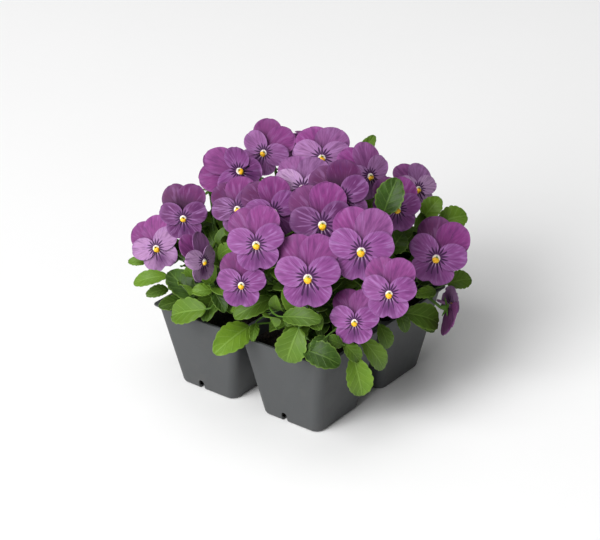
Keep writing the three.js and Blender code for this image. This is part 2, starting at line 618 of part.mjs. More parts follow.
// The place on a plant's stalks from which a leaf grows, low enough for the leaf to rise from it.
function rootFor(leaf, curves) {
  const base = vec(leaf.from);
  const away = base.clone().sub(vec(leaf.to)).normalize();
  const spots = curves.flatMap((curve) => ROOT_SHARES.map((share) => curve.getPoint(share)));
  const cost = (spot) => {
    const step = spot.clone().sub(base);
    return step.length() - ROOT_COST.ahead * step.dot(away) + ROOT_COST.above * Math.max(0, step.z);
  };
  return spots.reduce((best, spot) => (cost(spot) < cost(best) ? spot : best));
}

// Points spread over a leaf, from its edges to its rib.
function leafSpots(leaf) {
  const row = (along) => [-0.8, 0, 0.8].map((across) => leafPoint(leaf, along, across));
  return [0.1, 0.3, 0.55, 0.8, 1].flatMap(row);
}

// True where a leaf would leave its plant's own quarter or touch the pack, a bloom or another leaf.
function crowded(leaf, others) {
  const [signX, signY] = CELLS[leaf.cell];
  const flangeHalf = (PITCH + CELL_TOP) / 2 + FLANGE_OUT + CLEAR.edge;
  if (inHeart(leafPoint(leaf, 0.3, 0), leaf.cell) || inHeart(leafPoint(leaf, 1, 0), leaf.cell)) return true;
  return leafSpots(leaf).some((p) => {
    if (p.x * signX < ROOM || p.y * signY < ROOM) return true;
    const over = Math.abs(p.x) < flangeHalf && Math.abs(p.y) < flangeHalf;
    if (over && p.z < PACK_HEIGHT + CLEAR.above) return true;
    if (others.some((spots) => spots.some((q) => q.distanceTo(p) < CLEAR.apart))) return true;
    return [...BLOOMS, BUD].some((flower) => {
      const { out } = facing(flower.faces, 0);
      const away = p.clone().sub(vec(flower.at));
      const height = away.dot(out);
      const beside = away.addScaledVector(out, -height).length();
      return height > -CLEAR.behind && height < CLEAR.before && beside < flower.width * CLEAR.beside;
    });
  });
}

// Leaves set round a stalk by the golden angle, each turned on until it has room.
function leavesOn(curve, cell, stalkIndex, others) {
  const leaves = [];
  for (let n = 0; n < LEAVES_PER_STALK[cell]; n += 1) {
    const index = stalkIndex * 4 + n;
    const root = curve.getPoint(STALK_LEAF.low + STALK_LEAF.span * spread(index, 1));
    const length = mix(...LEAF_LENGTHS, spread(index, 2));
    const width = mix(...LEAF_WIDTHS, spread(index, 3));
    for (let attempt = 0; attempt < LEAF_TRIES; attempt += 1) {
      const turn = (index * STALK_LEAF.step + attempt) * GOLDEN_TURN;
      const steep = STALK_LEAF.rise - STALK_LEAF.fall * attempt;
      const way = vec([Math.cos(turn), Math.sin(turn), steep]).normalize();
      const base = root.clone().addScaledVector(way, LEAF_PETIOLE);
      const tip = base.clone().addScaledVector(way, length).add(vec([0, 0, -STALK_LEAF.droop]));
      const [from, to] = [base.toArray(), tip.toArray()];
      const leaf = { cell, root, from, to, width, arch: STALK_LEAF.arch, teeth: SMALL_TEETH };
      const within = Math.max(Math.abs(tip.x), Math.abs(tip.y)) < STALK_LEAF.reach;
      if (within && !crowded(leaf, others)) {
        others.push(leafSpots(leaf));
        leaves.push(leaf);
        break;
      }
    }
  }
  return leaves;
}

function rimLeaves(cell, others) {
  const [x, y] = middleOf(cell);
  const leaves = [];
  RIM_LEAVES[cell].forEach((direction, index) => {
    for (let attempt = 0; attempt < LEAF_TRIES; attempt += 1) {
      const turn = radians(direction + RIM.step * Math.ceil(attempt / 2) * (attempt % 2 ? 1 : -1));
      const z = mix(RIM.low, RIM.high, spread(index, 4)) + attempt;
      const point = (reach, height) => [x + reach * Math.cos(turn), y + reach * Math.sin(turn), height];
      const [from, to] = [point(RIM.base, z), point(RIM.tip, z - RIM.fall * spread(index, 5))];
      const leaf = { cell, from, to, width: RIM.width, arch: RIM.arch, teeth: SMALL_TEETH };
      if (!crowded(leaf, others)) {
        others.push(leafSpots(leaf));
        leaves.push(leaf);
        break;
      }
    }
  });
  return leaves;
}

// Leaves all round a plant's heart, spread by the golden angle.
function heartLeaves(cell, others) {
  const [x, y] = middleOf(cell);
  const leaves = [];
  for (let index = 0; index < HEART_LEAVES; index += 1) {
    const rise = mix(AROUND.lowest, AROUND.highest, (index + 0.5) / HEART_LEAVES);
    for (let attempt = 0; attempt < LEAF_TRIES; attempt += 1) {
      const turn = index * GOLDEN_TURN + attempt * AROUND_LEAF.turn;
      const level = Math.sqrt(1 - rise * rise);
      const way = vec([Math.cos(turn) * level, Math.sin(turn) * level, rise]);
      const place = (reach) => vec([x, y, AROUND.middle]).addScaledVector(way, reach);
      const droop = new THREE.Vector3(0, 0, -AROUND_LEAF.droop * level);
      const leaf = {
        cell,
        root: place(AROUND.root),
        from: place(AROUND.base).toArray(),
        to: place(AROUND.tip).add(droop).toArray(),
        width: mix(...LEAF_WIDTHS, spread(index, 6)),
        arch: AROUND_LEAF.arch,
        teeth: SMALL_TEETH,
      };
      if (!crowded(leaf, others)) {
        others.push(leafSpots(leaf));
        leaves.push(leaf);
        break;
      }
    }
  }
  return leaves;
}

function plantSolid(cell) {
  const parts = [crownSolid(cell), heartSolid(cell, Object.keys(CELLS).indexOf(cell))];
  const placed = PLACED_LEAVES.filter((leaf) => leaf.cell === cell);
  const teethOf = (leaf) => (leaf.width < LARGE_LEAF ? SMALL_TEETH : LARGE_TEETH);
  const leaves = placed.map((leaf) => ({ ...leaf, faces: FRONT_FACE, teeth: teethOf(leaf) }));
  const taken = leaves.map(leafSpots);
  leaves.push(...rimLeaves(cell, taken));
  const curves = [];
  BLOOMS.forEach((bloom, index) => {
    if (bloom.cell !== cell) return;
    const axes = facing(bloom.faces, bloom.roll);
    const curve = stalkOf(bloom, axes, CALYX.back, CALYX.lift);
    curves.push(curve);
    parts.push(stalkSolid(bloom, axes, curve, CALYX.front, CALYX.lift));
    leaves.push(...leavesOn(curve, cell, index, taken));
  });
  if (BUD.cell === cell) {
    const axes = facing(BUD.faces, 0);
    const curve = stalkOf(BUD, axes, CALYX.back - CALYX.front, 0);
    curves.push(curve);
    parts.push(stalkSolid(BUD, axes, curve, -GAP, 0));
  }
  leaves.push(...heartLeaves(cell, taken));
  const rooted = (leaf) => ({ ...leaf, root: leaf.root ? vec([...leaf.root]) : rootFor(leaf, curves) });
  for (const leaf of leaves) parts.push(leafSolid(rooted(leaf)));
  return union(parts);
}

const pack = new THREE.Group();
pack.add(meshOf(packSolid(), 'cell_pack', MATERIALS.plastic));
for (const cell of Object.keys(CELLS)) {
  pack.add(meshOf(soilSolid(cell), `soil_${cell}`, MATERIALS.soil));
  pack.add(meshOf(plantSolid(cell), `plant_${cell}`, MATERIALS.leaf));
}
BLOOMS.forEach((bloom, index) => {
  pack.add(meshOf(bloomSolid(bloom), `bloom_${String(index + 1).padStart(2, '0')}`, MATERIALS.petal));
});
pack.add(meshOf(budSolid(), 'bud', MATERIALS.petal));

export default pack;
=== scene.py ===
"""A four-cell pack of flowering horned violets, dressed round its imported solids.

Sizes inside the shape functions are millimetres, with +Z up and the pack's foot centred on the
origin. raw_body turns them into metres.
"""
import math

import bmesh
import bpy
import numpy as np
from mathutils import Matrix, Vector


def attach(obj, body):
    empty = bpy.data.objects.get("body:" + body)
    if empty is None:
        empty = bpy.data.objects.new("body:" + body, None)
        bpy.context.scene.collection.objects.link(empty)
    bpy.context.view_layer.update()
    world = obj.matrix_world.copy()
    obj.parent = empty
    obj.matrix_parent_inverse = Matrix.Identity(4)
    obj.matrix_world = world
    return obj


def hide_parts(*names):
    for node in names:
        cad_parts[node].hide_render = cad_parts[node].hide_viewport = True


bl_info = {
    "name": "Potted horned violets",
    "version": (1, 0, 0),
    "blender": (4, 5, 0),
    "location": "3D View > Sidebar > Violets",
    "description": "Builds a four-cell pack of horned violets in flower",
    "category": "Object",
}

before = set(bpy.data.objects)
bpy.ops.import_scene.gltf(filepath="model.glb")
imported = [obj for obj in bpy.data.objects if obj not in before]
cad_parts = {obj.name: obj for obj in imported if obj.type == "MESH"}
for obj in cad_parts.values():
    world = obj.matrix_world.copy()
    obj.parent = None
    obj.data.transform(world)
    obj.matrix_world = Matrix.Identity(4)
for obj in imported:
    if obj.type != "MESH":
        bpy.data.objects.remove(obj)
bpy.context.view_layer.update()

MM = 0.001
TAU = 2 * math.pi
GOLDEN_TURN = math.pi * (3 - math.sqrt(5))

# Steps round each corner of a rounded square, and the angles in degrees from which edges stay sharp.
CORNER_STEPS = 9
PLASTIC_SHARP = 38
SOIL_SHARP = 50
BLADE_SHARP = 60

# Tints that stay as they are.
DUST = (0.11, 0.105, 0.098)
FIBRES = (0.028, 0.018, 0.011)
WHITE_STREAK = (0.8, 0.66, 0.82)
WHITE_CAP = (0.8, 0.74, 0.66)
FURLED_PALE = (0.66, 0.55, 0.7)
LEAF_PATCHES = (0.06, 0.14, 0.012)
LEAF_EDGE = (0.2, 0.32, 0.05)
STEM_PATCHES = (0.07, 0.16, 0.02)

# The two colours of the beard and of the pistil's head, and the second one of the eye.
BEARD_TINTS = ((0.85, 0.82, 0.74), (0.8, 0.74, 0.55))
PISTIL_TINTS = ((0.16, 0.2, 0.03), (0.3, 0.32, 0.05))
EYE_SHADE = (0.9, 0.36, 0.005)

# The steps that spread places evenly: of one number and of its lanes, and of a point in four directions.
EVEN_STEP = 0.6180339887
LANE_STEP = 0.7548776662
POINT_STEPS = (0.8566748838, 0.7338918566, 0.6287067210, 0.5385972572)

# The cells of the pack, by the quarter that each one and its plant take up.
CELLS = {"front": (-1, -1), "left": (-1, 1), "right": (1, -1), "back": (1, 1)}

# The pack: from cell to cell, its height, a cell's widths and corner radii, and the flange.
PITCH = 70.0
PACK_HEIGHT = 60.0
CELL_TOP = 68.0
CELL_BOTTOM = 46.0
CORNER_TOP = 6.5
CORNER_BOTTOM = 6.0
FLANGE_OUT = 1.5
FLANGE_CORNER = 3.5
FLANGE_THICKNESS = 1.2
FLANGE_EASE = 0.35

# Levels up a cell, each with how far its edge is drawn in there: outside, inside from the floor up, and
# round the mouth, from the rim.
OUTSIDE = ((0, 1.9), (0.25, 1.1), (0.9, 0.4), (2.0, 0), (PACK_HEIGHT - 0.6, 0))
INSIDE = ((0, 1.6), (0.5, 0.7), (1.6, 0))
MOUTH = ((-1.6, 0), (-0.8, -0.25), (-0.2, -0.7), (0.6, -1.1))

# The drain slots at the feet: how far they run in and out through the wall, and to which side they sit.
DRAIN = {"width": 4.6, "height": 7.2, "deep": 16.0, "beyond": 3.0, "aside": 4.0}
DRAIN_ROOM = 1.5

# The soil: how far a plug stays in from the cell's outside, the levels up its side, each with how far its
# edge is drawn in, and its loose crumbs' sizes and how far out they lie.
SOIL_TOP = 52.0
SOIL_INSET = 1.5
SOIL_LEVELS = ((SOIL_INSET, 1.4), (SOIL_INSET + 1.0, 0.3), (SOIL_INSET + 2, 0), (30, 0), (49.5, 0))
SOIL_RINGS = 34
SOIL_STEPS = 10
CRUMB_SIZES = (0.4, 1.3)
CRUMB_REACH = 0.94

# A plant's crown, and the dense heart that its leaves keep out of: heights and radii.
CROWN = {"radius": 5.4, "top": 56.0}
CROWN_RADII = (5.2, 5.3, 5.0, 4.2, 2.6)
HEART = ((55.5, 7.0), (62.0, 15.0), (75.0, 18.0), (90.0, 16.0), (102.0, 8.0))

# Stalks, as in the part's source: how far their control points stand off, the calyx at their end, and the
# radii of the tubes that show.
STALK = {"rise": 24, "climb": 0.4, "hook": 4, "level": 88, "droop": 0.5, "outward": 0.12, "ahead": 0.6}
STALK_SPAN = 88.0
STALK_RADIUS = 1.1
STALK_RADII = (1.25, 0.95)
STALK_RINGS = 22
CALYX = {"lift": 1.2, "front": -5.0, "tip": 5.2, "back": -10.3, "lean": 12.0}

# A calyx's sepals, and the cup behind them: how far back from its front, and the radius there.
SEPALS = {"count": 5, "root": 0.4, "reach": 1.0, "half": 1.15, "thick": 0.35, "hollow": 0.4}
CUP = ((-0.4, 1.9), (-1.6, 2.1), (-3.0, 1.7), (-4.4, 1.3), (CALYX["back"] - CALYX["front"], STALK_RADIUS))

# Leaves, as in the part's source: their fold, the way they face, the outline's peak and fullness, the width
# from which they have three teeth, their stalks and their sizes.
LEAF_FOLD = math.radians(14)
LEAF_FACES = {"outward": 0.55, "up": 0.85}
FRONT_FACE = (-0.6, -0.5, 0.75)
LEAF_PEAK = 0.5
LEAF_FULLNESS = 0.62
LARGE_LEAF = 13.0
LEAF_PETIOLE = 7.0
PETIOLE = {"start": 0.75, "end": 0.5, "small": 0.6, "rings": 6}
LEAF_LENGTHS = (22.0, 29.0)
LEAF_WIDTHS = (15.0, 19.0)

# How many places are tried for a leaf, and the room that it needs: from the pack's edge and above it,
# behind and before a bloom and beside it in bloom widths, from other leaves, and from the next plant's
# quarter. Small leaves near the rim also stay above a height.
LEAF_TRIES = 9
CLEAR = {"edge": 2, "above": 3, "behind": 9, "before": 60, "beside": 0.66, "apart": 6}
FILLER_CLEAR = {"behind": 7, "before": 40, "apart": 1.8, "rim": 66, "low": 80}
ROOM = 1.2

# Leaves on the stalks: where on a stalk they start, how they rise, less from try to try, and their droop.
STALK_LEAF = {"from": 0.36, "over": 0.4, "rise": 0.35, "fall": 0.15, "droop": 4, "arch": 3}
STALK_LEAF_REACH = 90.0

# Leaves that hang over the rim: their directions in degrees, how far out they start and end, between which
# heights they start and how far they fall.
RIM_LEAVES = {
    "front": (),
    "left": (75, 100, 125),
    "right": (-15, 10, 35, 60),
    "back": (-5, 20, 45, 70, 92),
}
RIM = {"base": 40, "tip": 64, "low": 70, "high": 80, "fall": 12, "width": 18, "step": 7, "arch": 5}

# Leaves that stand out round a heart: its middle height, and how far out their roots, bases and tips are.
HEART_LEAVES = 4
AROUND = {
    "middle": 78, "root": 10, "base": 19, "tip": 45, "lowest": -0.32, "highest": 0.95,
    "step": 0.7, "droop": 5, "arch": 4,
}

# The small leaves of a heart, in a dome round a middle height: how low and high they point, how far out
# they start, their lengths, how much taller the dome is than wide, and their width in lengths.
FILLING = {
    "middle": 76, "lowest": -0.4, "highest": 0.98, "inner": 9, "outer": 42, "short": 12, "long": 20,
    "taller": 1.1, "slim": 0.72, "arch": 2.5,
}

# Rows along a blade, columns across it and the teeth of one edge.
SMALL_BLADE = (8, 3, 3)
LARGE_BLADE = (41, 11, 6)

# Every bloom: the cell it grows from, where its throat is, the way it faces (azimuth and elevation), how
# far its top leans to the right, its width, how far its upper and side petals fold back, and its tones:
# of its upper petals and of the others, from 0 for pale to 1 for deep, and how dark its upper petals'
# hearts are.
BLOOMS = (
    ("back", (10.9, 39.2, 149.5), (-61, 22), 27, 32, (8, 2), (0.5, 0.4, 0.3)),
    ("right", (13, -7, 157), (-53, 44), 3, 38, (10, 4), (0.3, 0.3, 0.3)),
    ("right", (25.2, -37, 147.8), (-25, 22), -12, 32, (12, 6), (0.35, 0.3, 0.3)),
    ("left", (-24.2, 32.6, 149.8), (-30, 46), -62, 35, (8, 4), (0.45, 0.5, 0.3)),
    ("front", (-23.1, -18.8, 151.4), (-51, 44), 8, 37, (8, 2), (0.0, 0.05, 0.1)),
    ("front", (-19.6, -47.8, 151.1), (-49, 30), -18, 36, (6, 0), (1.0, 0.85, 1.6)),
    ("front", (-40.9, -47.6, 141.1), (-49, 28), -8, 39, (8, 2), (0.6, 0.95, 0.5)),
    ("front", (-50.8, -16.8, 144.5), (-43, 32), -14, 34, (8, 2), (0.7, 0.6, 0.5)),
    ("left", (-57.7, 6.8, 142.5), (-62, 34), -24, 32, (10, 4), (0.75, 1.0, 0.5)),
    ("left", (-59.1, 50.9, 124.3), (-59, 14), -4, 31, (8, 2), (0.9, 0.9, 1.4)),
    ("left", (-55, 79.3, 92.7), (-64, 28), -30, 32, (8, 2), (0.5, 0.2, 0.2)),
    ("left", (-87.5, 9.8, 116.2), (0, 16), 8, 27, (8, 8), (0.2, 0.0, 0.1)),
    ("front", (-78.2, -24.6, 134.9), (-57, 26), -10, 35, (8, 2), (0.5, 0.58, 0.2)),
    ("front", (-89.2, -21.4, 110.2), (-56, 24), 0, 30, (8, 2), (0.55, 0.62, 0.3)),
    ("front", (-68, -57, 117.7), (-53, 26), 0, 40, (8, 2), (0.45, 0.52, 0.15)),
    ("front", (-38.8, -76.3, 130.4), (-53, 26), 5, 40, (6, 0), (0.35, 0.5, 0.1)),
    ("front", (-45.6, -102.5, 111.6), (-57, 26), 2, 33, (8, 4), (0.45, 0.6, 0.3)),
    ("front", (-52.4, -81.6, 88), (-57, 26), 0, 30, (8, 2), (0.4, 0.55, 0.3)),
    ("right", (29.5, -87.7, 102.2), (-59, 22), 16, 38, (14, 4), (0.6, 0.5, 0.4)),
    # bloom_20's pale tones are partly painted light: they make up for the shade that the other blooms cast
    # on it.
    ("right", (79, -39, 120), (-27, 34), 8, 29, (10, 4), (0.1, 0.0, 0.1)),
    ("right", (16.7, -65, 135.2), (-41, 26), 4, 31, (8, 2), (0.65, 0.65, 0.3)),
    ("right", (45.6, -92.1, 61), (55, -12), -116, 28, (6, 10), (0.7, 0.2, 0.2)),
    ("back", (52, 16, 150), (60, 50), -10, 32, (8, 2), (0.5, 0.4, 0.3)),
    ("back", (84, 22, 124), (75, 30), 6, 34, (8, 2), (0.55, 0.45, 0.3)),
    ("back", (20, 82, 126), (190, 32), -8, 32, (8, 2), (0.5, 0.35, 0.3)),
    ("back", (60, 62, 134), (135, 36), 4, 36, (8, 2), (0.45, 0.4, 0.3)),
    ("back", (84, 68, 92), (128, 16), 0, 32, (8, 4), (0.6, 0.5, 0.3)),
    ("right", (97, -12, 88), (88, 12), -6, 31, (8, 4), (0.5, 0.4, 0.3)),
    ("left", (7, 111.5, 84), (196, 14), 6, 31, (8, 4), (0.6, 0.45, 0.3)),
)
BLOOM_KEYS = ("cell", "at", "faces", "roll", "width", "back", "tones")
BUD = {"cell": "left", "at": (-23.5, 57.5, 130), "faces": (-60, 78), "roll": 0, "width": 13, "length": 19}

# The bud's thickness up its length, in shares of both, its grid, its folds and where its calyx ends.
BUD_SWELL = ((0, 0.3), (0.3, 1), (0.65, 0.8), (1, 0.15))
BUD_RINGS = 26
BUD_SIDES = 32
BUD_FOLDS = 5
BUD_FRONT = -0.3

# Petals in bloom widths: start beside the throat, direction, length, width, where the width peaks, how
# full the outline is, the bend of the tip in mm, how far before the throat it lies in mm, and its kind
# (0 upper, 1 side, 2 lower).
UPPER = (0.67, 0.61, 0.58, 0.45, 2.4)
SIDE = (0.5, 0.47, 0.5, 0.36, 1.4)
LOWER = (0.46, 0.75, 0.48, 0.34, 1.6)
PETALS = {
    "upper_left": ((-0.02, 0.03), 113, *UPPER, -4.2, 0),
    "upper_right": ((0.02, 0.03), 67, *UPPER, -2.9, 0),
    "side_left": ((-0.02, 0.0), 160, *SIDE, 0.2, 1),
    "side_right": ((0.02, 0.0), 20, *SIDE, 0.2, 1),
    "lower": ((0.0, 0.01), 270, *LOWER, -1.2, 2),
}
PETAL_KEYS = ("start", "angle", "length", "width", "peak", "full", "curl", "layer", "kind")

# How far the lower petal leans back, how deep its notch is, and the grid of every petal.
LOWER_LEAN = 3
LOWER_NOTCH = 0.1
PETAL_ROWS = 21
PETAL_COLUMNS = 15

# By a petal's direction: what is added to the tone of an upper petal, as painted shade on the upper petal
# behind where the other overlaps it, and as painted light (a paler tone) on the one before it.
UPPER_OVERLAP_PAINTED_SHADE = {113: 0.22, 67: -0.08}

# The whiskers round an eye: how many to each radian, and in bloom widths where they start, the shortest
# one's end, how much longer others are, how much longer they are below and above, and their breadths.
WHISKERS = {
    "dense": 2.55, "start": 0.055, "short": 0.13, "longer": 0.14, "below": 0.13, "above": -0.09,
    "broad": 0.038, "least": 0.0004,
}

# From the throat down to the middle of the white beard, in bloom widths, and the beard's tufts: how many,
# between which directions, and how far out their roots are.
EYE_DROP = 0.022
BEARD = {"tufts": 40, "right": -12, "left": 192, "inner": 0.046, "outer": 0.066}
TUFT_RADII = (0.3, 0.26, 0.16)

# The pistil's head and the lip's swelling: up from the throat in bloom widths, before it in mm, and radii
# across and up in bloom widths and out in mm, with its sides and rows.
PISTIL = {"up": 0.004, "before": 1.7, "radii": (0.02, 0.018, 0.7), "grid": (10, 7)}
LIP = {"up": -0.045, "before": 0.1, "radii": (0.064, 0.052, 1.5), "grid": (14, 8)}

# Back along a bloom's throat and spur: before the throat, above it, and the radius there.
SPUR = (
    (0.6, 0, 1.5), (-1.5, 0, 1.9), (-3.4, 0, 2.0), (-4.7, -0.6, 1.7),
    (-6.0, -2.3, 1.15), (-8.0, -3.3, 1.05), (-10.0, -4.4, 0.95), (-11.2, -4.9, 0.6),
)

# Leaves that stand where they show: cell, base and tip of the blade, width, arch, and tone from 0 for
# bright to 1 for deep green.
PLACED_LEAVES = (
    ("left", (-77, 18, 75), (-81, 44, 64), 19, 3, 0.4),
    ("left", (-74, 31, 77), (-71, 54, 89), 18, 3, 1.0),
    ("left", (-63, 63, 80), (-75, 82, 73), 11, 4, 0.25),
    ("left", (-57, 68, 66), (-71, 75, 65), 9, 2, 0.6),
    ("left", (-53, 89, 78), (-60, 100, 78), 7, 2, 0.3),
    ("left", (-62, 50, 65), (-79, 57, 65), 11, 2, 0.85),
    ("left", (-71, 17, 87), (-80, 27, 86), 9, 2, 0.3),
    ("front", (-65, -8, 66), (-96, -4, 58), 20, 4, 0.0),
    ("front", (-61, -27, 92), (-82, -9, 80), 15, 4, 0.6),
    ("front", (-77, -57, 86), (-83, -52, 63), 21, 4, 0.45),
    ("front", (-79, -46, 91), (-71, -70, 93), 13, 3, 0.7),
    ("front", (-80, -63, 74), (-73, -86, 68), 18, 4, 1.0),
    ("front", (-69, -72, 81), (-80, -69, 74), 10, 2, 1.0),
    ("front", (-57, -77, 73), (-50, -84, 60), 11, 2, 0.5),
    ("front", (-51, -80, 62), (-49, -86, 35), 18, 4, 0.12),
    ("front", (-40, -78, 70), (-26, -86, 44), 14, 4, 0.25),
    ("front", (-17, -76, 69), (-15, -82, 53), 11, 3, 0.5),
    ("right", (11, -77, 66), (34, -87.5, 52), 19, 4, 0.6),
    ("right", (8, -73, 68), (8, -80, 54), 9, 3, 0.8),
    ("right", (37, -83, 73), (22, -77, 74), 9, 2, 0.25),
    ("right", (52, -82, 72), (66, -92, 73), 14, 3, 0.35),
    ("right", (58, -58, 111), (68, -64, 124), 15, 3, 0.1),
    ("right", (69, -62, 104), (86, -74, 107), 18, 3, 0.15),
    ("right", (14, -62, 104), (24, -65, 115), 17, 3, 0.8),
    ("front", (-1, -66, 138), (10, -69, 160), 19, 3, 1.0),
    ("right", (50, -9, 140), (64, -13, 157), 10, 3, 0.4),
    ("front", (-36, -55, 95), (-26, -66, 102), 11, 3, 0.5),
    ("front", (-60, -78, 73.5), (-68, -70, 78.7), 9, 2, 0.75),
    ("left", (-69, 18, 85), (-72, 6, 75), 10, 2, 1.0),
    ("front", (-64, -12, 69), (-74.5, -18, 62.5), 7, 2, 0.5),
    ("right", (15, -75, 63), (31, -87, 47), 9, 2, 0.8),
)
LEAF_KEYS = ("cell", "from", "to", "width", "arch", "tone")

# The stage, in metres: half the floor's width, what the camera looks at, the light from all round, and the
# lamps, each with its place, its width and its power in watts.
FLOOR_HALF = 3.0
TARGET = (0, 0, 0.08)
AMBIENT = 0.16
LAMPS = {
    "key": ((-5.48, 0.19, 2.44), 4.4, 370.0),
    "fill": ((-3.8, 0.5, 4.6), 4.0, 205.0),
    "top": ((0.6, 1.0, 5.8), 4.4, 66.0),
}

# The picture: the camera's sensor in mm, the picture's width and shifts in pixels, and the pixels that one
# millimetre takes up at the target.
SENSOR = 36.0
PICTURE_WIDTH = 600
PICTURE_SHIFTS = (-1.0, -2.4)
PIXELS = 1.505


def spread(index, lane):
    """Numbers spread evenly from 0 to 1: the fraction of index and lane, each times its own step."""
    return (index * EVEN_STEP + lane * LANE_STEP) % 1.0


def scatter(index, lane):
    """Points spread evenly in up to four directions at once: the fraction of a half plus index times the
    step of one direction, or lane."""
    return (0.5 + index * POINT_STEPS[lane]) % 1.0


def mix(a, b, share):
    """a + (b - a) * share."""
    return a + (b - a) * share


def vec(*values):
    """The values as one vector."""
    return np.array(values, float)


def unit(v):
    """v over its length, along the last axis."""
    return v / np.maximum(np.linalg.norm(v, axis=-1, keepdims=True), 1e-9)


def cell_middle(cell):
    """Where a cell's middle stands: half a pitch from the pack's middle each way."""
    sign_x, sign_y = CELLS[cell]
    return sign_x * PITCH / 2, sign_y * PITCH / 2


def profile(u, peak, fullness):
    """Half a blade's width along its length u: sin(pi u^k)^fullness, with k set to peak at peak."""
    power = math.log(0.5) / math.log(peak)
    return np.maximum(np.sin(math.pi * np.clip(u, 0, 1) ** power), 0) ** fullness


def smoothstep(low, high, x):
    """0 below low, 1 above high and 3t^2 - 2t^3 between."""
    t = np.clip((x - low) / (high - low), 0, 1)
    return t * t * (3 - 2 * t)


def direction_to(azimuth, elevation):
    """(sin a cos e, -cos a cos e, sin e): azimuth 0 looks to the front, and goes round by the right."""
    level = math.cos(elevation)
    return vec(math.sin(azimuth) * level, -math.cos(azimuth) * level, math.sin(elevation))


def dome_way(turn, rise):
    """A unit vector that goes round by turn and up by rise, and how long it is on the level."""
    level = math.sqrt(1 - rise * rise)
    return vec(math.cos(turn) * level, math.sin(turn) * level, rise), level


# Meshes from arrays

def grid_faces(rows, columns, close=False):
    """Quads between neighbouring rows of a grid whose points are numbered row by row."""
    r = np.arange(rows - 1)[:, None]
    c = np.arange(columns if close else columns - 1)[None, :]
    following = (c + 1) % columns
    a = r * columns + c
    b = r * columns + following
    return np.stack([a, b, b + columns, a + columns], -1).reshape(-1, 4)


def sheet(points, thickness, marks):
    """A thin closed blade round a grid of points: each face lies half the thickness off along the normal,
    which is the cross product of the grid's two directions, and a rim joins them."""
    rows, columns = points.shape[:2]
    normal = unit(np.cross(np.gradient(points, axis=1), np.gradient(points, axis=0)))
    front = points + normal * thickness / 2
    back = points - normal * thickness / 2
    faces = grid_faces(rows, columns)
    count = rows * columns
    index = np.arange(count).reshape(rows, columns)
    loop = np.concatenate([index[0, :-1], index[:-1, -1], index[-1, :0:-1], index[:0:-1, 0]])
    following = np.roll(loop, -1)
    rim = np.stack([loop, loop + count, following + count, following], -1)
    both = {name: np.concatenate([value.reshape(count, -1)] * 2) for name, value in marks.items()}
    return {
        "points": np.concatenate([front.reshape(-1, 3), back.reshape(-1, 3)]),
        "faces": np.concatenate([faces[:, ::-1], faces + count, rim]),
        "marks": both,
    }


def closed_rows(points):
    """A patch through rings of equally many points, each closed and joined to the next."""
    rows, sides = points.shape[:2]
    return {"points": points.reshape(-1, 3), "faces": grid_faces(rows, sides, close=True), "marks": {}}


def stack_of(rings):
    """A closed body through rings of equally many points, with a point at the middle of each end."""
    rings = np.asarray(rings)
    bottom, top = (np.tile(rings[k].mean(0), (1, rings.shape[1], 1)) for k in (0, -1))
    return closed_rows(np.concatenate([bottom, rings, top]))


def tube(centres, radii, across, sides):
    """A closed tube: each ring is its centre plus radius times cos t across and sin t above, with across
    squared up to the path's direction. Each end is drawn in to a point."""
    across = np.tile(across, (len(centres), 1))
    tangent = unit(np.gradient(centres, axis=0))
    across = unit(across - (across * tangent).sum(-1, keepdims=True) * tangent)
    above = np.cross(tangent, across)
    turn = np.arange(sides) * TAU / sides
    ring = across[:, None] * np.cos(turn)[None, :, None] + above[:, None] * np.sin(turn)[None, :, None]
    points = centres[:, None] + ring * np.asarray(radii)[:, None, None]
    start, end = (np.tile(centres[k], (1, sides, 1)) for k in (0, -1))
    return closed_rows(np.concatenate([start, points, end]))


def gather(patches):
    """Several patches as one set of points, faces and marks."""
    starts = np.cumsum([0] + [len(p["points"]) for p in patches[:-1]])
    names = patches[0]["marks"]
    return {
        "points": np.concatenate([p["points"] for p in patches]),
        "faces": np.concatenate([p["faces"] + s for p, s in zip(patches, starts)]),
        "marks": {name: np.concatenate([p["marks"][name] for p in patches]) for name in names},
    }


def linked(name, data):
    """A new object of the scene that shows some data."""
    thing = bpy.data.objects.new(name, data)
    bpy.context.scene.collection.objects.link(thing)
    return thing


def raw_body(name, patch):
    """A mesh object of a patch, in metres, with its marks as attributes."""
    mesh = bpy.data.meshes.new(name)
    mesh.from_pydata((patch["points"] * MM).tolist(), [], patch["faces"].tolist())
    for mark, values in patch["marks"].items():
        attribute = mesh.attributes.new(mark, "FLOAT_VECTOR", "POINT")
        attribute.data.foreach_set("vector", values.astype(np.float32).ravel())
    mesh.validate()
    merge_doubles(mesh)
    return linked(name, mesh)


def settle(piece, material, node, sharp=None):
    """Gives a piece its material and its place in the frame: on the only body, in the stead of a node.
    Edges sharper than an angle in degrees stay sharp."""
    mesh = piece.data
    mesh.materials.clear()
    mesh.materials.append(material)
    mesh.shade_smooth()
    if sharp:
        mesh.set_sharp_from_angle(angle=math.radians(sharp))
    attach(piece, "root")
    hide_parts(node)


def merge_doubles(mesh):
    """Joins points that lie together, such as a tube's drawn-in ends."""
    work = bmesh.new()
    work.from_mesh(mesh)
    bmesh.ops.remove_doubles(work, verts=work.verts, dist=1e-7)
    work.to_mesh(mesh)
    work.free()


# Shader nodes

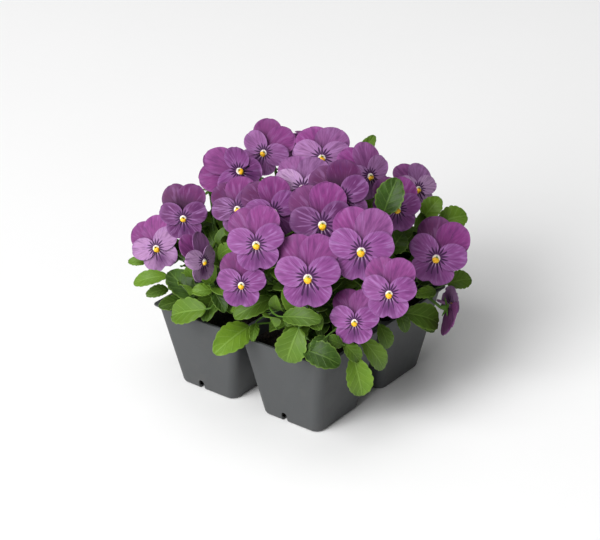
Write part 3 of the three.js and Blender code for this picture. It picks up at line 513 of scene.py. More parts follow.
class Nodes:
    """Short calls for the nodes of one material or group."""

    def __init__(self, tree):
        """Keeps the tree that the calls add to."""
        self.tree = tree

    def add(self, kind, inputs=None, **settings):
        """A new node with its settings, then its inputs: values, or sockets to link."""
        node = self.tree.nodes.new(kind)
        for name, value in settings.items():
            setattr(node, name, value)
        for key, value in (inputs or {}).items():
            self.put(node.inputs[key], value)
        return node

    def put(self, socket, value):
        """Links a socket to value, or sets it to value where that is no socket."""
        if isinstance(value, bpy.types.NodeSocket):
            self.tree.links.new(value, socket)
        else:
            socket.default_value = value

    def math(self, operation, a, b=0.0, c=0.0):
        """One operation on up to three numbers."""
        return self.add("ShaderNodeMath", {0: a, 1: b, 2: c}, operation=operation).outputs[0]

    def times(self, a, b):
        """a times b."""
        return self.math("MULTIPLY", a, b)

    def times_plus(self, a, b, c):
        """a times b, plus c."""
        return self.math("MULTIPLY_ADD", a, b, c)

    def minus(self, a, b):
        """a less b."""
        return self.math("SUBTRACT", a, b)

    def over(self, a, b):
        """a over b."""
        return self.math("DIVIDE", a, b)

    def size(self, a):
        """a without its sign."""
        return self.math("ABSOLUTE", a)

    def length(self, x, y):
        """sqrt(x^2 + y^2)."""
        return self.math("SQRT", self.times_plus(y, y, self.times(x, x)))

    def vector(self, x, y, z):
        """Three numbers as one vector."""
        return self.add("ShaderNodeCombineXYZ", {0: x, 1: y, 2: z}).outputs[0]

    def steps(self, value, low, high, start=0.0, end=1.0):
        """start below low, end above high, and smooth between."""
        inputs = {"Value": value, "From Min": low, "From Max": high, "To Min": start, "To Max": end}
        return self.add("ShaderNodeMapRange", inputs, interpolation_type="SMOOTHSTEP").outputs[0]

    def falls(self, value, low, high):
        """1 below low, 0 above high, and smooth between."""
        return self.steps(value, low, high, 1.0, 0.0)

    def blend(self, share, a, b):
        """The colour a, with b over it by share."""
        node = self.add("ShaderNodeMix", data_type="RGBA")
        for socket, value in ((node.inputs[0], share), (node.inputs[6], a), (node.inputs[7], b)):
            self.put(socket, value)
        return node.outputs[2]

    def layers(self, colour, tints):
        """A colour with several tints laid over it in turn, each by its share."""
        for share, tint in tints:
            colour = self.blend(share, colour, rgba(tint))
        return colour

    def mark(self, name):
        """The three numbers of a mesh attribute."""
        read = self.add("ShaderNodeAttribute", attribute_name=name)
        return self.add("ShaderNodeSeparateXYZ", {0: read.outputs["Vector"]}).outputs

    def noise(self, vector, scale, detail=2.0):
        """Smooth noise from 0 to 1, scale waves to a metre."""
        inputs = {"Vector": vector, "Scale": scale, "Detail": detail}
        return self.add("ShaderNodeTexNoise", inputs).outputs["Fac"]

    def mottle(self, coarse, fine):
        """The Mottle group's shade and height on the object's own coordinates."""
        place = self.add("ShaderNodeTexCoord").outputs["Object"]
        inputs = {"Place": place, "Coarse": coarse, "Fine": fine}
        return self.add("ShaderNodeGroup", inputs, node_tree=mottle_group()).outputs


def material_with(name, **constants):
    """A new material with its Principled shader's constant values set, and the short calls for its tree."""
    material = bpy.data.materials.new(name)
    material.use_nodes = True
    shader = material.node_tree.nodes["Principled BSDF"]
    shader.inputs["Metallic"].default_value = 0.0
    for socket, value in constants.items():
        shader.inputs[socket.replace("_", " ")].default_value = value
    return material, Nodes(material.node_tree)


def dress(material, nodes, colour, relief=None, roughness=None):
    """Feeds a material's shader a colour, a relief (its height, strength and distance) and a roughness."""
    inputs = material.node_tree.nodes["Principled BSDF"].inputs
    nodes.put(inputs["Base Color"], colour)
    if roughness is not None:
        nodes.put(inputs["Roughness"], roughness)
    if relief is not None:
        bump = nodes.add("ShaderNodeBump", dict(zip(("Height", "Strength", "Distance"), relief)))
        nodes.put(inputs["Normal"], bump.outputs["Normal"])
    return material


def group_of(name, inputs, outputs):
    """A shader node group with named sockets: inputs are {name: default}, a number or a vector."""
    tree = bpy.data.node_groups.new(name, "ShaderNodeTree")
    for label, default in inputs.items():
        kind = "NodeSocketVector" if isinstance(default, tuple) else "NodeSocketFloat"
        socket = tree.interface.new_socket(name=label, in_out="INPUT", socket_type=kind)
        socket.default_value = default
    for label in outputs:
        tree.interface.new_socket(name=label, in_out="OUTPUT", socket_type="NodeSocketFloat")
    nodes = Nodes(tree)
    return tree, nodes, nodes.add("NodeGroupInput").outputs


def mottle_group():
    """Uneven growth: two sizes of noise, as a shade and a fine height."""
    name = "Mottle"
    if name in bpy.data.node_groups:
        return bpy.data.node_groups[name]
    inputs = {"Place": (0, 0, 0), "Coarse": 60.0, "Fine": 900.0}
    tree, nodes, entry = group_of(name, inputs, ("Shade", "Height"))
    coarse = nodes.noise(entry["Place"], entry["Coarse"], 3.0)
    fine = nodes.noise(entry["Place"], entry["Fine"])
    shade = nodes.times_plus(fine, 0.3, nodes.times(coarse, 0.7))
    nodes.add("NodeGroupOutput", {"Shade": shade, "Height": fine})
    return tree


def rgba(colour):
    """A colour with an alpha of 1."""
    return (*colour[:3], 1.0)


# Settings that a user would change

def colour_setting(name, description, default):
    """A colour that a user would change."""
    return bpy.props.FloatVectorProperty(
        name=name, description=description, default=default, subtype="COLOR"
    )


def length_setting(name, description, default):
    """A length in metres that a user would change."""
    return bpy.props.FloatProperty(name=name, description=description, default=default, unit="LENGTH")


def angle_setting(name, description, degrees):
    """An angle that a user would change, given in degrees."""
    return bpy.props.FloatProperty(
        name=name, description=description, default=math.radians(degrees), subtype="ANGLE"
    )


class PackSettings(bpy.types.PropertyGroup):
    """The plastic pack and its soil."""

    wall: length_setting("Wall", "Thickness of the pack's plastic", 0.0012)
    plastic: colour_setting("Plastic", "Colour of the pack", (0.058, 0.061, 0.063))
    soil: colour_setting("Soil", "Colour of the potting soil", (0.006, 0.004, 0.003))
    crumbs: bpy.props.IntProperty(
        name="Crumbs", description="Loose crumbs on each cell's soil", default=260, min=0
    )


class FoliageSettings(bpy.types.PropertyGroup):
    """The plants' leaves and stems."""

    thickness: length_setting("Blade", "Thickness of a leaf", 0.0005)
    filling: bpy.props.IntProperty(
        name="Filling", description="Small leaves tried in each plant's heart", default=700, min=0
    )
    bright: colour_setting("Bright", "Colour of the young leaves", (0.13, 0.235, 0.018))
    # The deep green is the old leaves' colour, and also painted shade on the small leaves deep in a plant's
    # heart.
    deep: colour_setting("Deep", "Colour of the old leaves", (0.019, 0.043, 0.005))
    vein: colour_setting("Vein", "Colour of the veins", (0.2, 0.33, 0.06))
    stem: colour_setting("Stem", "Colour of the stalks", (0.09, 0.19, 0.02))


class BloomSettings(bpy.types.PropertyGroup):
    """The blooms' petals and eyes."""

    thickness: length_setting("Petal", "Thickness of a petal", 0.0004)
    pale_upper: colour_setting("Pale upper", "Upper petals of the palest blooms", (0.26, 0.11, 0.27))
    upper: colour_setting("Upper", "Upper petals", (0.22, 0.036, 0.188))
    deep_upper: colour_setting("Deep upper", "Upper petals of the deepest blooms", (0.078, 0.008, 0.06))
    pale_lower: colour_setting("Pale lower", "Other petals of the palest blooms", (0.42, 0.25, 0.43))
    lower: colour_setting("Lower", "Side and lower petals", (0.212, 0.052, 0.212))
    deep_lower: colour_setting("Deep lower", "Other petals of the deepest blooms", (0.095, 0.017, 0.09))
    rim: colour_setting("Rim", "Petals' edges and the paler part round the eye", (0.36, 0.18, 0.42))
    vein: colour_setting("Petal veins", "Fine veins of the petals", (0.085, 0.018, 0.095))
    heart: colour_setting("Heart", "Darkest part of the upper petals", (0.045, 0.007, 0.04))
    whisker: colour_setting("Whiskers", "Dark lines round the eye", (0.04, 0.007, 0.05))
    eye: colour_setting("Eye", "Colour of the eye", (0.95, 0.55, 0.01))


class StageSettings(bpy.types.PropertyGroup):
    """The floor, the lights and the camera."""

    distance: length_setting("Distance", "From the camera to the plants", 1.3)
    azimuth: angle_setting("Azimuth", "Turn of the camera round the pack", -52.7)
    elevation: angle_setting("Elevation", "Height of the camera", 26.5)
    floor: colour_setting("Floor", "Colour of the floor", (0.93, 0.93, 0.93))


# The pack and its soil

def rounded_square(x, y, width, radius, z, steps):
    """Points of a square with round corners: corner centres plus radius times (cos t, sin t)."""
    turn = (np.arange(4)[:, None] + np.linspace(0, 1, steps + 1)[None, :]) * math.pi / 2
    inset = width / 2 - radius
    centre_x = np.array([1, -1, -1, 1])[:, None] * inset
    centre_y = np.array([1, 1, -1, -1])[:, None] * inset
    px = x + centre_x + radius * np.cos(turn)
    py = y + centre_y + radius * np.sin(turn)
    return np.stack([px, py, np.full_like(px, z)], -1).reshape(-1, 3)


def cell_size(z):
    """A cell's outer width and corner radius at a height, straight between its foot and its rim."""
    share = z / PACK_HEIGHT
    return mix(CELL_BOTTOM, CELL_TOP, share), mix(CORNER_BOTTOM, CORNER_TOP, share)


def cell_rings(x, y, inset, levels, steps=CORNER_STEPS):
    """Rounded squares up a tapering cell: each level is its height and how far its edge is drawn in."""
    rings = []
    for z, eased in levels:
        width, corner = cell_size(z)
        back = inset + eased
        rings.append(rounded_square(x, y, width - 2 * back, corner - back, z, steps))
    return rings


def combine(body, other, operation):
    """Joins or cuts body with other, and removes other."""
    modifier = body.modifiers.new("combine", "BOOLEAN")
    modifier.operation = operation
    modifier.solver = "EXACT"
    modifier.use_self = True
    modifier.object = other
    graph = bpy.context.evaluated_depsgraph_get()
    result = bpy.data.meshes.new_from_object(body.evaluated_get(graph))
    body.modifiers.clear()
    body.data = result
    bpy.data.objects.remove(other)


def drain_bar(x, y, side, room=0.0):
    """An arched bar through one side of a cell's foot, along X: a half circle on a low rectangle, made
    larger all round by room."""
    half = DRAIN["width"] / 2 + room
    turn = np.linspace(0, math.pi, 13)
    arch_y = np.concatenate([[half], half * np.cos(turn), [-half]])
    straight = DRAIN["height"] + room - half
    arch_z = np.concatenate([[-1.0], straight + half * np.sin(turn), [-1.0]])
    outside = CELL_BOTTOM / 2 + DRAIN["beyond"]
    inside = CELL_BOTTOM / 2 - DRAIN["deep"] - room
    low, high = sorted((side * inside, side * outside))
    across = y + DRAIN["aside"] + arch_y
    return stack_of([np.stack([np.full_like(across, x + end), across, arch_z], -1) for end in (low, high)])


def plastic_material(colour):
    """Semi-matt plastic with a faint grain from forming, dusted a little with soil in patches."""
    material, nodes = material_with("plastic", Specular_IOR_Level=0.25)
    shade, height = nodes.mottle(90.0, 2600.0)
    dust = nodes.steps(shade, 0.5, 0.72, 0.0, 0.25)
    dusted = nodes.layers(rgba(colour), [(dust, DUST)])
    return dress(material, nodes, dusted, (height, 0.12, 0.0002), nodes.steps(shade, 0.3, 0.8, 0.42, 0.56))


def flange_rings():
    """The rounded squares of the flange: drawn in by the ease at its foot and its top."""
    width = CELL_TOP + PITCH + 2 * FLANGE_OUT
    foot = PACK_HEIGHT - FLANGE_THICKNESS
    levels = (
        (foot, FLANGE_EASE),
        (foot + FLANGE_EASE, 0),
        (PACK_HEIGHT - FLANGE_EASE, 0),
        (PACK_HEIGHT, FLANGE_EASE),
    )
    return [
        rounded_square(0, 0, width - 2 * ease, FLANGE_CORNER - ease, z, CORNER_STEPS) for z, ease in levels
    ]


class VIOLETS_OT_pack(bpy.types.Operator):
    """Build the plastic pack: a flange that joins four tapered cells, with drain slots at their feet"""

    bl_idname = "violets.pack"
    bl_label = "Plastic pack"

    def execute(self, context):
        """Joins the cells to the flange, then takes their hollows and the drain slots away."""
        settings = context.scene.violet_pack
        wall = settings.wall / MM
        inside = [(wall + z, eased) for z, eased in INSIDE]
        inside += [(PACK_HEIGHT + z, eased) for z, eased in MOUTH]
        middles = [cell_middle(cell) for cell in CELLS]
        body = raw_body("pack_shell", stack_of(flange_rings()))
        for x, y in middles:
            combine(body, raw_body("cell", stack_of(cell_rings(x, y, 0, OUTSIDE))), "UNION")
        for x, y in middles:
            combine(body, raw_body("hollow", stack_of(cell_rings(x, y, wall, inside))), "DIFFERENCE")
        bars = [drain_bar(x, y, side) for x, y in middles for side in (-1, 1)]
        combine(body, raw_body("drains", gather(bars)), "DIFFERENCE")
        settle(body, plastic_material(settings.plastic), "cell_pack", PLASTIC_SHARP)
        return {"FINISHED"}


def soil_material(colour):
    """Damp crumbly soil, dark with paler fibres and grains."""
    material, nodes = material_with("soil", Roughness=0.95, Specular_IOR_Level=0.25)
    shade, height = nodes.mottle(220.0, 1500.0)
    grained = nodes.layers(rgba(colour), [(nodes.steps(shade, 0.42, 0.7), FIBRES)])
    return dress(material, nodes, grained, (height, 0.8, 0.0012))


def soil_height(px, py, share):
    """The soil's top: a low mound plus waves of several lengths, fading out towards the cell's wall."""
    lump = sum(
        (0.55 / n) * np.sin(px * 0.23 * n + 1.7 * n * n) * np.sin(py * 0.27 * n + 2.3 * n)
        for n in range(1, 6)
    )
    return SOIL_TOP - 0.4 + 1.9 * (1 - share**2) + lump * np.minimum(1, (1 - share) * 6)


def soil_plug(cell):
    """A plug's sides and its lumpy top, whose rings shrink from the wall to the middle."""
    x, y = cell_middle(cell)
    sides = cell_rings(x, y, SOIL_INSET, SOIL_LEVELS, SOIL_STEPS)
    width, corner = cell_size(SOIL_TOP)
    edge = rounded_square(x, y, width - 2 * SOIL_INSET, corner - SOIL_INSET, SOIL_TOP, SOIL_STEPS)
    share = (1 - np.linspace(0.0, 0.97, SOIL_RINGS))[:, None]
    px = mix(x, edge[None, :, 0], share)
    py = mix(y, edge[None, :, 1], share)
    return stack_of(np.concatenate([sides, np.stack([px, py, soil_height(px, py, share)], -1)]))


CRUMB_CORNERS = np.array([(x, y, z) for z in (-1, 1) for y in (-1, 1) for x in (-1, 1)], float)
CRUMB_FACES = np.array([(0, 2, 3, 1), (4, 5, 7, 6), (0, 1, 5, 4), (2, 6, 7, 3), (0, 4, 6, 2), (1, 3, 7, 5)])


def crumb(centre, size, index):
    """A small angular lump: a block whose corners are moved in and out, turned by the golden angle."""
    reach = 0.45 + 0.55 * ((np.arange(8) * 0.618 + index * 0.37) % 1.0)
    turn = index * GOLDEN_TURN
    twist = np.array([
        [math.cos(turn), -math.sin(turn), 0],
        [math.sin(turn), math.cos(turn), 0.3],
        [0, -0.3, 0.8],
    ])
    points = centre + (CRUMB_CORNERS * reach[:, None] * size) @ twist.T
    return {"points": points, "faces": CRUMB_FACES, "marks": {}}


def soil_crumbs(cell, number, count):
    """Crumbs scattered over a cell's soil, most of them small, by the square of an even spread."""
    x, y = cell_middle(cell)
    half = cell_size(SOIL_TOP)[0] / 2 - SOIL_INSET
    crumbs = []
    for k in range(count):
        out_x, out_y = (CRUMB_REACH * (2 * scatter(k + 97 * number, lane) - 1) for lane in (0, 1))
        px, py = x + out_x * half, y + out_y * half
        top = soil_height(px, py, max(abs(out_x), abs(out_y)))
        size = mix(*CRUMB_SIZES, spread(k, 3) ** 2)
        crumbs.append(crumb(vec(px, py, top + 0.2 * size), size, k))
    return crumbs


class VIOLETS_OT_soil(bpy.types.Operator):
    """Build the potting soil: one lumpy plug in each cell, with loose crumbs on it"""

    bl_idname = "violets.soil"
    bl_label = "Potting soil"

    def execute(self, context):
        """Takes room for the drain slots out of each plug and its crumbs."""
        settings = context.scene.violet_pack
        material = soil_material(settings.soil)
        for number, cell in enumerate(CELLS):
            x, y = cell_middle(cell)
            patches = [soil_plug(cell), *soil_crumbs(cell, number, settings.crumbs)]
            plug = raw_body(f"soil_in_{cell}", gather(patches))
            bars = [drain_bar(x, y, side, DRAIN_ROOM) for side in (-1, 1)]
            combine(plug, raw_body("soil_drains", gather(bars)), "DIFFERENCE")
            settle(plug, material, f"soil_{cell}", SOIL_SHARP)
        return {"FINISHED"}


# Blooms

def facing(faces, roll):
    """Right, up and out of something that faces an azimuth and elevation and leans to the right by roll."""
    azimuth, elevation = (math.radians(value) for value in faces)
    lean = math.radians(roll)
    out = direction_to(azimuth, elevation)
    level = vec(math.cos(azimuth), math.sin(azimuth), 0)
    upright = np.cross(out, level)
    right = level * math.cos(lean) - upright * math.sin(lean)
    up = upright * math.cos(lean) + level * math.sin(lean)
    return right, up, out


def place_on(flower, axes, x, y, z):
    """Points x to the right, y up and z before a flower's throat."""
    right, up, out = axes
    x, y, z = (np.asarray(value, float)[..., None] for value in (x, y, z))
    return np.array(flower["at"], float) + right * x + up * y + out * z


def petal_patch(bloom, axes, petal, thickness, seed):
    """A petal: reach times (cos, sin) of its direction plus a half width to each side, leaning back from
    the throat, curling at its end by the cube of its length, and waved along its edge. Both grids are
    spaced by cosines, closest at the edges."""
    along = (0.5 - 0.5 * np.cos(np.linspace(0, math.pi, PETAL_ROWS)))[:, None] * 0.982 + 0.012
    across = np.sin(np.linspace(-1, 1, PETAL_COLUMNS) * math.pi / 2)[None, :]
    width = bloom["width"]
    kind = petal["kind"]
    lean = math.radians((*bloom["back"], LOWER_LEAN)[kind])
    turn = math.radians(petal["angle"])
    wave = 1 + 0.022 * np.sin(7 * along + 5 * seed) * along
    half = profile(along, petal["peak"], petal["full"]) * petal["width"] * width / 2 * wave
    notch = LOWER_NOTCH * (np.abs(across) - 0.5) * along if kind == 2 else 0
    reach = petal["length"] * width * (along + notch)
    side = half * across
    flat = reach * math.cos(lean)
    x = petal["start"][0] * width + flat * math.cos(turn) - side * math.sin(turn)
    y = petal["start"][1] * width + flat * math.sin(turn) + side * math.cos(turn)
    edge = smoothstep(0.35, 1, along) * np.abs(across)
    long_wave = 0.4 * np.sin(5.5 * across + 9 * seed + 4 * along)
    ruffle = edge * (long_wave + 0.2 * np.sin(11 * across - 5 * seed))
    crease = -0.5 * np.exp(-((across / 0.25) ** 2)) * along * (1 - along)
    z = petal["layer"] - reach * math.sin(lean) - petal["curl"] * along**3 + ruffle + crease
    upper, others, heart = bloom["tones"]
    # The upper petals' tones carry the painted shade and painted light of their overlap.
    tone = others if kind else upper + UPPER_OVERLAP_PAINTED_SHADE[petal["angle"]]
    marks = {
        "spot": marks_of(z, x / width, y / width, kind),
        "blade": marks_of(z, across, along, 0),
        "tone": marks_of(z, tone, bloom["seed"], heart),
    }
    points = place_on(bloom, axes, x, y, z)[:, ::-1]
    return sheet(points, thickness, {name: value[:, ::-1] for name, value in marks.items()})


def marks_of(grid, *values):
    """Three marks for every point of a grid, each the same all over or changing with the point."""
    return np.stack([value + 0 * grid for value in values], -1)


def whiskers(nodes, angle, radius, seed, is_upper, is_lower):
    """Dark lines that run out from the eye at even steps of direction, a little bent by noise. A line's
    half breadth is t^0.35 (1 - t)^0.8 over the share t of its way to its ragged end. Gives the lines, and
    how far off the middle between two of them a point lies."""
    polar = nodes.vector(nodes.times(angle, 2.0), nodes.times(radius, 1.2), seed)
    wander = nodes.times_plus(nodes.noise(polar, 1.6), 0.5, -0.25)
    bent = nodes.times_plus(wander, nodes.steps(radius, 0.05, 0.3), angle)
    turned = nodes.times(bent, WHISKERS["dense"])
    number = nodes.math("ROUND", turned)
    comb = nodes.size(nodes.minus(turned, number))
    ragged = nodes.noise(nodes.vector(number, seed, 0.0), 3.7)
    below = nodes.times(is_lower, nodes.math("POWER", nodes.math("COSINE", angle), 2.0))
    end = nodes.times_plus(ragged, WHISKERS["longer"], WHISKERS["short"])
    end = nodes.times_plus(below, WHISKERS["below"], end)
    end = nodes.times_plus(is_upper, WHISKERS["above"], end)
    start = WHISKERS["start"]
    share = nodes.over(nodes.minus(radius, start), nodes.minus(end, start))
    share = nodes.math("MINIMUM", nodes.math("MAXIMUM", share, 0.0), 1.0)
    taper = nodes.math("POWER", nodes.minus(1.0, share), 0.8)
    breadth = nodes.times(nodes.math("POWER", share, 0.35), taper)
    breadth = nodes.times_plus(breadth, WHISKERS["broad"], WHISKERS["least"])
    off, between = (
        nodes.over(nodes.times(part, radius), WHISKERS["dense"]) for part in (comb, nodes.minus(0.5, comb))
    )
    lines = nodes.times(nodes.falls(nodes.over(off, breadth), 0.5, 1.25), nodes.falls(share, 0.9, 1.0))
    return lines, between


def petal_group():
    """The markings of a petal, from where a point lies on the bloom in bloom widths.

    White streaks lie midway between the whiskers of the lower petal, and a white cap stands as a roof over
    the eye. Veins and fans are noise drawn out along the directions from the eye.
    """
    name = "Petal markings"
    if name in bpy.data.node_groups:
        return bpy.data.node_groups[name]
    labels = ("Whiskers", "Streaks", "Glow", "Eye", "Cap", "Veins", "Fan", "Flush")
    tree, nodes, entry = group_of(name, dict.fromkeys(("X", "Y", "Kind", "Seed"), 0.0), labels)
    x, y, kind, seed = (entry[key] for key in ("X", "Y", "Kind", "Seed"))
    radius = nodes.length(x, y)
    angle = nodes.math("ARCTAN2", x, nodes.times(y, -1.0))
    aside = nodes.size(angle)
    is_lower = nodes.steps(kind, 1.4, 1.6)
    lines, between = whiskers(nodes, angle, radius, seed, nodes.steps(kind, 0.6, 0.4), is_lower)

    streak = nodes.times(nodes.falls(between, 0.001, 0.006), nodes.falls(radius, 0.11, 0.2))
    streak = nodes.times(streak, nodes.steps(aside, 0.9, 1.5, 1.0, 0.2))
    eye = nodes.falls(nodes.length(x, nodes.math("ADD", y, 0.05)), 0.05, 0.062)
    cap = nodes.falls(nodes.length(x, nodes.math("ADD", y, EYE_DROP)), 0.06, 0.072)
    fine = nodes.vector(nodes.times(angle, 15.0), nodes.times(radius, 4.0), seed)
    broad = nodes.vector(nodes.times(angle, 5.5), nodes.times(radius, 2.2), seed)
    flush = nodes.times(nodes.falls(radius, 0.23, 0.52), nodes.falls(aside, 0.05, 0.9))
    nodes.add("NodeGroupOutput", {
        "Whiskers": lines,
        "Streaks": nodes.times(streak, is_lower),
        "Glow": nodes.falls(radius, 0.06, 0.3),
        "Eye": nodes.times(eye, is_lower),
        "Cap": nodes.times(cap, nodes.steps(y, -0.045, -0.02)),
        "Veins": nodes.noise(fine, 1.7, 3.0),
        "Fan": nodes.noise(broad, 1.5),
        "Flush": nodes.times(flush, is_lower),
    })
    return tree


def three_tones(nodes, tone, pale, plain, deep):
    """The colour of a tone: pale at 0, plain at a half and deep at 1."""
    tints = ((nodes.steps(tone, 0.0, 0.5), plain), (nodes.steps(tone, 0.5, 1.0), deep))
    return nodes.layers(rgba(pale), tints)


def petal_material(settings):
    """Velvety petals: magenta above, lilac below, with fine veins, whiskers, streaks and an eye."""
    material, nodes = material_with(
        "petal", Specular_IOR_Level=0.2, Sheen_Weight=0.06, Sheen_Roughness=0.5
    )
    x, y, kind = nodes.mark("spot")
    across, along, _ = nodes.mark("blade")
    tone, seed, dark = nodes.mark("tone")
    inputs = {"X": x, "Y": y, "Kind": kind, "Seed": seed}
    marked = nodes.add("ShaderNodeGroup", inputs, node_tree=petal_group()).outputs
    is_upper = nodes.steps(kind, 0.6, 0.4)
    below = three_tones(nodes, tone, settings.pale_lower, settings.lower, settings.deep_lower)
    above = three_tones(nodes, tone, settings.pale_upper, settings.upper, settings.deep_upper)
    rim = nodes.math("MAXIMUM", nodes.steps(nodes.size(across), 0.7, 1.0), nodes.steps(along, 0.75, 1.0))
    fan = nodes.steps(marked["Fan"], 0.5, 0.68, 0.0, 0.5)
    pale = nodes.math("MAXIMUM", nodes.times(rim, 0.3), fan)
    colour = nodes.layers(nodes.blend(is_upper, below, above), (
        (nodes.times(pale, nodes.times_plus(is_upper, -0.5, 1.0)), settings.rim),
        (nodes.steps(marked["Fan"], 0.5, 0.3, 0.0, 0.5), settings.vein),
        (nodes.steps(marked["Veins"], 0.4, 0.7, 0.0, 0.35), settings.vein),
        (nodes.times(nodes.falls(along, 0.15, 0.75), nodes.times(is_upper, dark)), settings.heart),
        (nodes.times(marked["Flush"], 0.95), settings.vein),
        (nodes.times(marked["Glow"], nodes.times_plus(is_upper, -0.25, 0.25)), settings.rim),
        (nodes.times(marked["Streaks"], 0.7), WHITE_STREAK),
        (marked["Whiskers"], settings.whisker),
        (marked["Cap"], WHITE_CAP),
        (marked["Eye"], settings.eye),
    ))
    shade, grain = nodes.mottle(140.0, 2200.0)
    relief = nodes.times_plus(grain, 0.3, marked["Veins"])
    return dress(material, nodes, colour, (relief, 0.3, 0.0004), nodes.steps(shade, 0.3, 0.8, 0.5, 0.65))


def ball(centre, axes, radii, sides, rows):
    """An ellipsoid: centre plus radii times (sin v cos u, sin v sin u, cos v) along right, up and out."""
    v = np.linspace(0.02, math.pi - 0.02, rows)[:, None]
    u = (np.arange(sides) * TAU / sides)[None, :]
    shares = (np.sin(v) * np.cos(u), np.sin(v) * np.sin(u), np.cos(v) + 0 * u)
    parts = (share[..., None] * radius * axis for share, radius, axis in zip(shares, radii, axes))
    patch = stack_of(centre + sum(parts))
    return {**patch, "faces": patch["faces"][:, ::-1]}


def bloom_body(bloom, axes):
    """The throat behind the petals and the spur that runs back from it: rings of falling radius."""
    z, y, radii = np.array(SPUR, float).T
    patch = tube(place_on(bloom, axes, 0 * z, y, z), radii, axes[0], 10)
    ahead = ((patch["points"] - np.array(bloom["at"], float)) @ axes[2] > -1)[:, None]
    rows = (len(ahead), 1)
    patch["marks"] = {
        "spot": np.where(ahead, vec(0, 0, 1), vec(0.3, 0.3, 1)),
        "blade": np.tile(vec(0, 0.5, 0), rows),
        "tone": np.tile(vec(bloom["tones"][1], bloom["seed"], 0), rows),
    }
    return patch


def bloom_centre(bloom, axes):
    """The beard that roofs the eye, the pistil's green head and the yellow swelling of the lower petal."""
    width = bloom["width"]
    tufts = []
    for k in range(BEARD["tufts"]):
        turn = math.radians(mix(BEARD["right"], BEARD["left"], scatter(k, 0)))
        reach = width * mix(BEARD["inner"], BEARD["outer"], scatter(k, 1))
        x, y = reach * math.cos(turn), reach * math.sin(turn) - EYE_DROP * width
        root = place_on(bloom, axes, x, y, -0.4)
        lean = vec(-0.5 * math.cos(turn), -0.5 * math.sin(turn), 1.2) * (0.7 + 0.6 * spread(k, 7))
        way = sum(share * axis for share, axis in zip(lean, axes))
        tufts.append(tube(root + way * np.linspace(0, 1, 3)[:, None], TUFT_RADII, axes[0], 4))
    return [gather(tufts), *(swelling(bloom, axes, part) for part in (PISTIL, LIP))]


def swelling(bloom, axes, part):
    """A round part of a bloom's eye: its place and its radii across and up grow with the bloom."""
    width = bloom["width"]
    across, up, out = part["radii"]
    centre = place_on(bloom, axes, 0, part["up"] * width, part["before"])
    return ball(centre, axes, (across * width, up * width, out), *part["grid"])


def speckled_material(name, colour, patches):
    """A soft part of the eye: one colour with another in patches."""
    material, nodes = material_with(name, Roughness=0.5, Subsurface_Weight=0.1)
    shade, height = nodes.mottle(500.0, 3000.0)
    speckled = nodes.layers(rgba(colour), [(nodes.steps(shade, 0.35, 0.7), patches)])
    return dress(material, nodes, speckled, (height, 0.3, 0.0003))


def blooms():
    """Every bloom as a dictionary, with its name and its own seed."""
    made = []
    for number, row in enumerate(BLOOMS):
        bloom = dict(zip(BLOOM_KEYS, row))
        bloom["name"] = f"bloom_{number + 1:02d}"
        bloom["seed"] = spread(number + 1, 9) * 10
        made.append(bloom)
    return made


class VIOLETS_OT_blooms(bpy.types.Operator):
    """Build the blooms: five petals each, with a throat, a spur, a beard and an eye"""

    bl_idname = "violets.blooms"
    bl_label = "Blooms"

    def execute(self, context):
        """Makes a bloom's petals, beard, pistil and eye, one bloom after the other."""
        settings = context.scene.violet_bloom
        petal_skin = petal_material(settings)
        skins = {
            "beard": speckled_material("beard", *BEARD_TINTS),
            "pistil": speckled_material("pistil", *PISTIL_TINTS),
            "eye": speckled_material("eye", settings.eye, EYE_SHADE),
        }
        for bloom in blooms():
            axes = facing(bloom["faces"], bloom["roll"])
            patches = []
            for number, values in enumerate(PETALS.values()):
                petal = dict(zip(PETAL_KEYS, values))
                seed = spread(number, 4) + bloom["seed"]
                patches.append(petal_patch(bloom, axes, petal, settings.thickness / MM, seed))
            patches.append(bloom_body(bloom, axes))
            node = bloom["name"]
            settle(raw_body(f"{node}_petals", gather(patches)), petal_skin, node, BLADE_SHARP)
            for (part, skin), patch in zip(skins.items(), bloom_centre(bloom, axes)):
                settle(raw_body(f"{node}_{part}", patch), skin, node)
        return {"FINISHED"}


def bud_material(settings):
    """Furled petals: pale lilac and purple bands that wind round the bud."""
    material, nodes = material_with("bud", Roughness=0.6, Sheen_Weight=0.3)
    turn, up, _ = nodes.mark("blade")
    winding = nodes.times_plus(turn, 2.0, nodes.times(up, 1.2))
    band = nodes.size(nodes.minus(nodes.math("FRACT", winding), 0.5))
    shade, height = nodes.mottle(200.0, 2500.0)
    share = nodes.times_plus(shade, 0.3, nodes.steps(band, 0.1, 0.3))
    banded = nodes.layers(rgba(settings.upper), [(share, FURLED_PALE)])
    return dress(material, nodes, banded, (nodes.math("ADD", band, height), 0.3, 0.0006))


class VIOLETS_OT_bud(bpy.types.Operator):
    """Build the furled bloom: a slim body, widest low down, with the petals' edges winding up it"""

    bl_idname = "violets.bud"
    bl_label = "Furled bloom"

    def execute(self, context):
        """Rings whose radius follows the swelling, with five folds that wind round it."""
        axes = facing(BUD["faces"], 0)
        share = np.linspace(0, 1, BUD_RINGS)[:, None]
        round_it = (np.arange(BUD_SIDES) / BUD_SIDES)[None, :]
        turn = round_it * TAU
        swell = np.interp(share, *zip(*BUD_SWELL)) * BUD["width"] / 2
        fold = 1 + 0.09 * np.abs(((round_it * BUD_FOLDS + share * 1.3) % 1) - 0.5)
        reach = swell * fold * 0.93
        height = BUD["length"] * share + 0 * turn
        patch = stack_of(place_on(BUD, axes, reach * np.cos(turn), reach * np.sin(turn), height))
        share = np.concatenate([[0], share[:, 0], [1]])[:, None]
        patch["marks"] = {"blade": marks_of(share + 0 * turn, round_it, share, 0).reshape(-1, 3)}
        settle(raw_body("furled_bloom", patch), bud_material(context.scene.violet_bloom), "bud")
        return {"FINISHED"}


# Stalks and leaves

